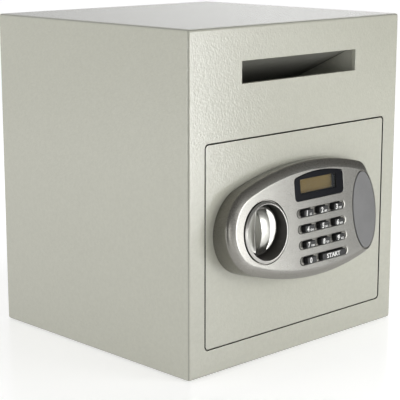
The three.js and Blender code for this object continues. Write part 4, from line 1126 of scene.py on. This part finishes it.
# Inner cover: a folded tray in the coat of the casing, over the bolt work.
# Two pressed beads stiffen it, and four screws hold it to the door.
COVER_SHEET = 1.5
COVER_CORNER = 6.0
COVER_BEND = 2.2
BEAD_HEIGHTS = (158.0, 208.0)
BEHIND = -60.0
RESET_HOLE = 3.4
low, high, _ = room_of("inner_cover")
deep, seat = front - high.y, front - low.y
tray_bm = block((low.x, low.z, deep), (high.x, high.z, seat), COVER_CORNER, along=2, steps=8)
round_off(tray_bm, rim(tray_bm, deep), COVER_BEND, 5)
tray = make(tray_bm, "cover_tray", ON_DOOR)
hatch_low, hatch_high, (hatch_x, hatch_z, _) = room_of("battery_cover")
holder_low, holder_high, _ = room_of("battery_holder")
_, _, (reset_x, reset_z, _) = room_of("reset_button")
carve(
    tray, "DIFFERENCE",
    make(block(
        (low.x + COVER_SHEET, low.z + COVER_SHEET, deep + COVER_SHEET),
        (high.x - COVER_SHEET, high.z - COVER_SHEET, 0), COVER_CORNER - COVER_SHEET, along=2, steps=6,
    ), "room", ON_DOOR),
    make(block(
        (holder_low.x, holder_low.z, BEHIND), (holder_high.x, holder_high.z, 0), 1.6, along=2,
    ), "hatch_window", ON_DOOR),
    make(pillar(reset_x, reset_z, RESET_HOLE, BEHIND, 0, 48), "reset_hole", ON_DOOR),
)
for number in range(1, 5):
    _, _, (across, up, _) = room_of(f"cover_screw_{number}")
    screw_hole = make(pillar(across, up, SCREW_RADIUS + 0.3, BEHIND, 0, 32), "screw_hole", ON_DOOR)
    carve(tray, "DIFFERENCE", screw_hole)
for place in ("lower", "upper"):
    _, _, (_, up, out) = room_of(f"bolt_{place}")
    carve(tray, "DIFFERENCE", spun("bolt_hole", [
        (0, 0), (BOLT_RADIUS + 0.8, 0), (BOLT_RADIUS + 0.8, 5), (0, 5),
    ], (low.x - 1, up, out), TO_RIGHT))
for up in BEAD_HEIGHTS:
    bead_bm = block(
        (low.x + 22, up - 3.5, deep - 5), (high.x - 22, up + 3.5, deep + 0.5), 3.4, along=2, steps=8,
    )
    round_off(bead_bm, rim(bead_bm, deep + 0.5), 0.45, 3)
    carve(tray, "DIFFERENCE", make(bead_bm, "bead", ON_DOOR))
ease(tray, 0.3)
shade(tray)
dress(tray, "door", "powder_grey", powder_coat)
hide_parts("inner_cover")
for count in range(1, 5):
    pan_screw(f"cover_screw_{count}", count + 2)


# Battery compartment: a black ABS holder with ribs between four AA cells, and a ribbed hatch
# that clips into the window of the tray. The cells lie side by side, each turned end for end.
HATCH_THICKNESS = 2.0
HATCH_LIP = 1.6
HATCH_CORNER = 4.0
HATCH_RIB = 0.6
HATCH_RIBS = 6
HATCH_RIB_PITCH = 8.0
HOLDER_WALL = 1.6
TAB_RISE = 2.0
satin_black = finish(
    "satin_black", (30, 31, 33), tint=(25, 26, 28), patch=80, rough=0.45, grain=1800, relief=0.03,
    specular=0.4,
)
holder = make(block(holder_low, holder_high, 0.8), "cell_holder")
carve(holder, "DIFFERENCE", make(block(
    (holder_low.x + HOLDER_WALL, holder_low.y + HOLDER_WALL, holder_low.z + HOLDER_WALL),
    (holder_high.x - HOLDER_WALL, holder_high.y + 5, holder_high.z - HOLDER_WALL),
), "cell_room"))
_, _, first_cell = room_of("battery_1")
_, _, second_cell = room_of("battery_2")
cell_pitch = second_cell[1] - first_cell[1]
for count in range(3):
    up = first_cell[1] + cell_pitch * (count + 0.5)
    carve(holder, "UNION", make(block(
        (holder_low.x + 1, holder_low.y + 1, up - 0.3), (holder_high.x - 1, holder_low.y + 5.5, up + 0.3),
    ), "cell_rib"))
ease(holder, 0.2)
shade(holder)
dress(holder, "door", "black_gloss", satin_black)
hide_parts("battery_holder")

seat = front - hatch_low.y - HATCH_LIP
lip_low = Vector((holder_low.x + 0.3, holder_low.z + 0.3))
lip_high = Vector((holder_high.x - 0.3, holder_high.z - 0.3))
hatch_bm = block(
    (hatch_low.x, hatch_low.z, seat - HATCH_THICKNESS), (hatch_high.x, hatch_high.z, seat),
    HATCH_CORNER, along=2, steps=8,
)
round_off(hatch_bm, rim(hatch_bm, seat - HATCH_THICKNESS), 0.8, 4)
hatch = make(hatch_bm, "cell_hatch", ON_DOOR)
lip = make(block((*lip_low, seat - 1), (*lip_high, seat + HATCH_LIP), 1.3, along=2), "lip", ON_DOOR)
carve(lip, "DIFFERENCE", make(block(
    (lip_low.x + HATCH_LIP, lip_low.y + HATCH_LIP, seat),
    (lip_high.x - HATCH_LIP, lip_high.y - HATCH_LIP, seat + 5),
), "lip_room", ON_DOOR))
carve(hatch, "UNION", lip)
for count in range(HATCH_RIBS):
    up = hatch_z + HATCH_RIB_PITCH * (count - HATCH_RIBS / 2)
    rib_bm = block(
        (hatch_x - 22, up - 0.8, seat - HATCH_THICKNESS - HATCH_RIB), (hatch_x + 22, up + 0.8, seat - 1),
        0.75, along=2, steps=5,
    )
    round_off(rib_bm, rim(rib_bm, seat - HATCH_THICKNESS - HATCH_RIB), 0.4, 3)
    carve(hatch, "UNION", make(rib_bm, "rib", ON_DOOR))
tab_top = seat - HATCH_THICKNESS - TAB_RISE
tab_bm = block(
    (hatch_x - 10, holder_high.z - 2.5, tab_top), (hatch_x + 10, holder_high.z + 2.5, seat - 1),
    1.5, along=2, steps=5,
)
round_off(tab_bm, rim(tab_bm, tab_top), 0.7, 3)
tab = make(tab_bm, "tab", ON_DOOR)
for step in (-1.2, 1.2):
    carve(tab, "DIFFERENCE", make(block(
        (hatch_x - 8.5, holder_high.z + step - 0.4, tab_top - 1),
        (hatch_x + 8.5, holder_high.z + step + 0.4, tab_top + 0.5),
    ), "grip_groove", ON_DOOR))
carve(hatch, "UNION", tab)
shade(hatch)
dress(hatch, "battery_cover_body", "black_gloss", satin_black)
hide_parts("battery_cover")

CELL_RADIUS = 7.1
CELL_NUB_RADIUS = 2.7
CELL_NUB = 1.2
BAND_START = 0.74
jacket = finish(
    "cell_jacket", (44, 62, 99), tint=(40, 56, 90), patch=80, rough=0.3, metal=0.35, grain=600,
    relief=0.01,
)
cell_band = finish(
    "cell_band", (196, 197, 199), tint=(186, 187, 190), patch=80, rough=0.3, metal=0.6, grain=600,
    relief=0.01,
)
for count in range(1, 5):
    low, high, (across, up, out) = room_of(f"battery_{count}")
    body = high.x - low.x - CELL_NUB
    start, turn = (low.x, TO_RIGHT) if count % 2 else (high.x, TO_LEFT)
    cell = spun(f"aa_cell_{count}", [
        (0, 0), (CELL_RADIUS - 1.2, 0), (CELL_RADIUS - 0.8, 0.25), (CELL_RADIUS - 0.3, 0.1),
        (CELL_RADIUS, 0.5), (CELL_RADIUS, body * BAND_START), (CELL_RADIUS, body - 0.7),
        (CELL_RADIUS - 0.3, body - 0.2), (CELL_RADIUS - 1.0, body - 0.1), (CELL_RADIUS - 1.4, body - 0.5),
        (CELL_NUB_RADIUS + 0.1, body - 0.4), (CELL_NUB_RADIUS, body + CELL_NUB - 0.4),
        (CELL_NUB_RADIUS - 0.4, body + CELL_NUB), (0, body + CELL_NUB),
    ], (start, up, out), turn, 48)
    shade(cell)
    dress(cell, "door", "cell_jacket", jacket, cell_band, zinc)
    for face in cell.data.polygons:
        along = abs(face.center.x / MM - start)
        outwards = math.hypot(face.center.z / MM - up, front - face.center.y / MM - out)
        if along < 0.3 or along > body - 0.3 or outwards < CELL_RADIUS - 0.6:
            face.material_index = 2
        elif along > body * BAND_START:
            face.material_index = 1
    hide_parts(f"battery_{count}")


# Reset button: a red cap through the inner cover, over a switch on the door.
# A flange keeps it in, and a stem reaches down to the switch.
low, high, (across, up, _) = room_of("reset_button")
tip, foot = front - high.y, front - low.y
flange = tip + 4.0
button = spun("reset_cap", [
    (0, tip), *arc(2.2, tip + 0.8, 0.8, -90, 0, 6), (3.0, flange), (4.6, flange), (4.6, flange + 1.5),
    (1.5, flange + 1.5), (1.5, foot), (0, foot),
], (across, up, 0), OUTWARDS, 48)
shade(button)
button_red = finish(
    "button_red", (179, 38, 30), tint=(170, 34, 28), patch=200, rough=0.35, grain=1500, relief=0.01,
)
dress(button, "reset_button_body", "red_plastic", button_red)
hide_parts("reset_button")
redress("reset_switch", satin_black)


# The studio: a white floor that runs out of sight, a white surround that dims to the left in
# reflections, and soft boxes in front, on the left and overhead. A dim wall and a card beside
# the camera are seen only in the gloss of the safe, and none of this belongs to it.
FLOOR_REACH = 30.0
FLOOR_DROP = 0.6
FLOOR_GLOSS = (0.35, 0.0)
FLOOR_LIFT = (0.47, 0.74)
FLOOR_MIRRORED = 0.48
FLOOR_FADE = (0.32, 0.75)
SURROUND_LIGHT = 0.32
WALL_GLOW = 0.17


def joined(tree, operation, *sources):
    """A Math step on two outputs, or on an output and a number."""
    step = tree.nodes.new("ShaderNodeMath")
    step.operation = operation
    for place, source in enumerate(sources):
        if isinstance(source, float):
            step.inputs[place].default_value = source
        else:
            tree.links.new(source, step.inputs[place])
    return step.outputs[0]


floor_bm = bmesh.new()
bmesh.ops.create_grid(floor_bm, x_segments=2, y_segments=2, size=FLOOR_REACH)
bmesh.ops.translate(floor_bm, verts=floor_bm.verts[:], vec=(0, 0, -FLOOR_DROP * MM))
floor = make(floor_bm, "floor")
floor_paint = bpy.data.materials.new("floor_paint")
floor_paint.use_nodes = True
nodes, links = floor_paint.node_tree.nodes, floor_paint.node_tree.links
floor_shader = nodes["Principled BSDF"]
floor_shader.inputs["Base Color"].default_value = (0.86, 0.86, 0.86, 1)
floor_shader.inputs["Roughness"].default_value = 0.12
away = nodes.new("ShaderNodeVectorMath")
away.operation = "LENGTH"
links.new(nodes.new("ShaderNodeTexCoord").outputs["Object"], away.inputs[0])
gloss = ranged(floor_paint.node_tree, away.outputs["Value"], *FLOOR_FADE, *FLOOR_GLOSS)
links.new(gloss, floor_shader.inputs["Specular IOR Level"])
lift = ranged(floor_paint.node_tree, away.outputs["Value"], *FLOOR_FADE, *FLOOR_LIFT)
rays = nodes.new("ShaderNodeLightPath").outputs
seen = joined(floor_paint.node_tree, "MULTIPLY", rays["Is Camera Ray"], lift)
mirrored = joined(floor_paint.node_tree, "MAXIMUM", rays["Is Glossy Ray"], rays["Is Transmission Ray"])
mirrored = joined(floor_paint.node_tree, "MULTIPLY", mirrored, FLOOR_MIRRORED)
glow = nodes.new("ShaderNodeEmission")
links.new(joined(floor_paint.node_tree, "MAXIMUM", seen, mirrored), glow.inputs["Strength"])
both = nodes.new("ShaderNodeAddShader")
links.new(floor_shader.outputs["BSDF"], both.inputs[0])
links.new(glow.outputs["Emission"], both.inputs[1])
links.new(both.outputs["Shader"], nodes["Material Output"].inputs["Surface"])
floor.data.materials.append(floor_paint)

surround = bpy.data.worlds.new("surround")
scene.world = surround
surround.use_nodes = True
nodes, links = surround.node_tree.nodes, surround.node_tree.links
heading = nodes.new("ShaderNodeTexCoord")
across = nodes.new("ShaderNodeVectorMath")
across.operation = "DOT_PRODUCT"
across.inputs[1].default_value = (0.719, -0.695, 0)
links.new(heading.outputs["Generated"], across.inputs[0])
left_fall = ranged(surround.node_tree, across.outputs["Value"], -0.17, 0.05, low=0.44)
rays = nodes.new("ShaderNodeLightPath").outputs
mirrored = joined(surround.node_tree, "MULTIPLY", rays["Is Glossy Ray"], left_fall)
seen = joined(surround.node_tree, "MAXIMUM", rays["Is Camera Ray"], mirrored)
seen = joined(surround.node_tree, "MAXIMUM", seen, rays["Is Transmission Ray"])
links.new(ranged(surround.node_tree, seen, low=SURROUND_LIGHT), nodes["Background"].inputs["Strength"])
nodes["Background"].inputs["Color"].default_value = (1, 1, 1, 1)


def soft_box(name, place, aim, wide, tall, watts, diffuse=True, glossy=True):
    """A rectangular lamp that faces a point."""
    lamp = bpy.data.lights.new(name, "AREA")
    lamp.shape = "RECTANGLE"
    lamp.size = wide
    lamp.size_y = tall
    lamp.energy = watts
    holder = bpy.data.objects.new(name, lamp)
    holder.location = place
    holder.rotation_euler = (Vector(aim) - Vector(place)).to_track_quat("-Z", "Y").to_euler()
    holder.visible_camera = False
    holder.visible_diffuse = diffuse
    holder.visible_glossy = glossy
    scene.collection.objects.link(holder)


soft_box("right_box", (0.2525, -0.862, 0.235), (-0.1, -0.19, 0.235), 0.455, 0.45, 1.9)
soft_box("fill_box", (0.2525, -0.862, 0.40), (-0.1, -0.19, 0.27), 0.455, 0.72, 1.0, glossy=False)
soft_box("sheen_box", (0.2365, -0.797, 0.235), (-0.1, -0.19, 0.235), 0.29, 0.45, 1.15, diffuse=False)
soft_box("face_box", (0.55, -0.74, 0.31), (-0.03, -0.2, 0.2), 0.2, 0.16, 0.12, diffuse=False)
soft_box("left_strip", (-1.25, -0.35, 0.22), (-0.1, -0.19, 0.16), 0.09, 0.36, 1.5)
soft_box("front_strip", (-0.42, -1.40, 0.22), (-0.1, -0.19, 0.16), 0.10, 0.36, 1.5)
soft_box("left_box", (-1.7, 0.7, 0.6), (0, 0, 0.15), 1.3, 1.1, 9.9, glossy=False)
soft_box("top_box", (1.1, 0.5, 1.7), (0, 0, 0.38), 1.2, 1.2, 3.5)

room_bm = bmesh.new()
bmesh.ops.create_uvsphere(room_bm, u_segments=48, v_segments=24, radius=2.8)
for point, direction in (((0, 0.25, 0), (0, 1, 0)), ((0, 0, 0), (0, 0, -1))):
    bmesh.ops.bisect_plane(
        room_bm, geom=room_bm.verts[:] + room_bm.edges[:] + room_bm.faces[:], plane_co=point,
        plane_no=direction, clear_outer=True,
    )
room_wall = make(room_bm, "room_wall")
wall_paint = bpy.data.materials.new("wall_paint")
wall_paint.use_nodes = True
wall_shader = wall_paint.node_tree.nodes["Principled BSDF"]
for socket, value in (
    ("Base Color", (0, 0, 0, 1)), ("Roughness", 1.0), ("Specular IOR Level", 0.0),
    ("Emission Color", (1, 0.99, 0.95, 1)), ("Emission Strength", WALL_GLOW),
):
    wall_shader.inputs[socket].default_value = value
flag_bm = bmesh.new()
bmesh.ops.create_grid(flag_bm, x_segments=1, y_segments=1, size=0.5, matrix=(
    Matrix.Translation((-0.52, -0.60, 0.22)) @ Matrix.Rotation(math.radians(-44), 4, "Z")
    @ Matrix.Rotation(math.pi / 2, 4, "X") @ Matrix.Diagonal((0.7, 0.43, 1, 1))
))
flag = make(flag_bm, "flag")
for card in (room_wall, flag):
    card.data.materials.append(wall_paint)
    card.visible_camera = False
    card.visible_diffuse = False
    card.visible_shadow = False
    card.visible_transmission = False
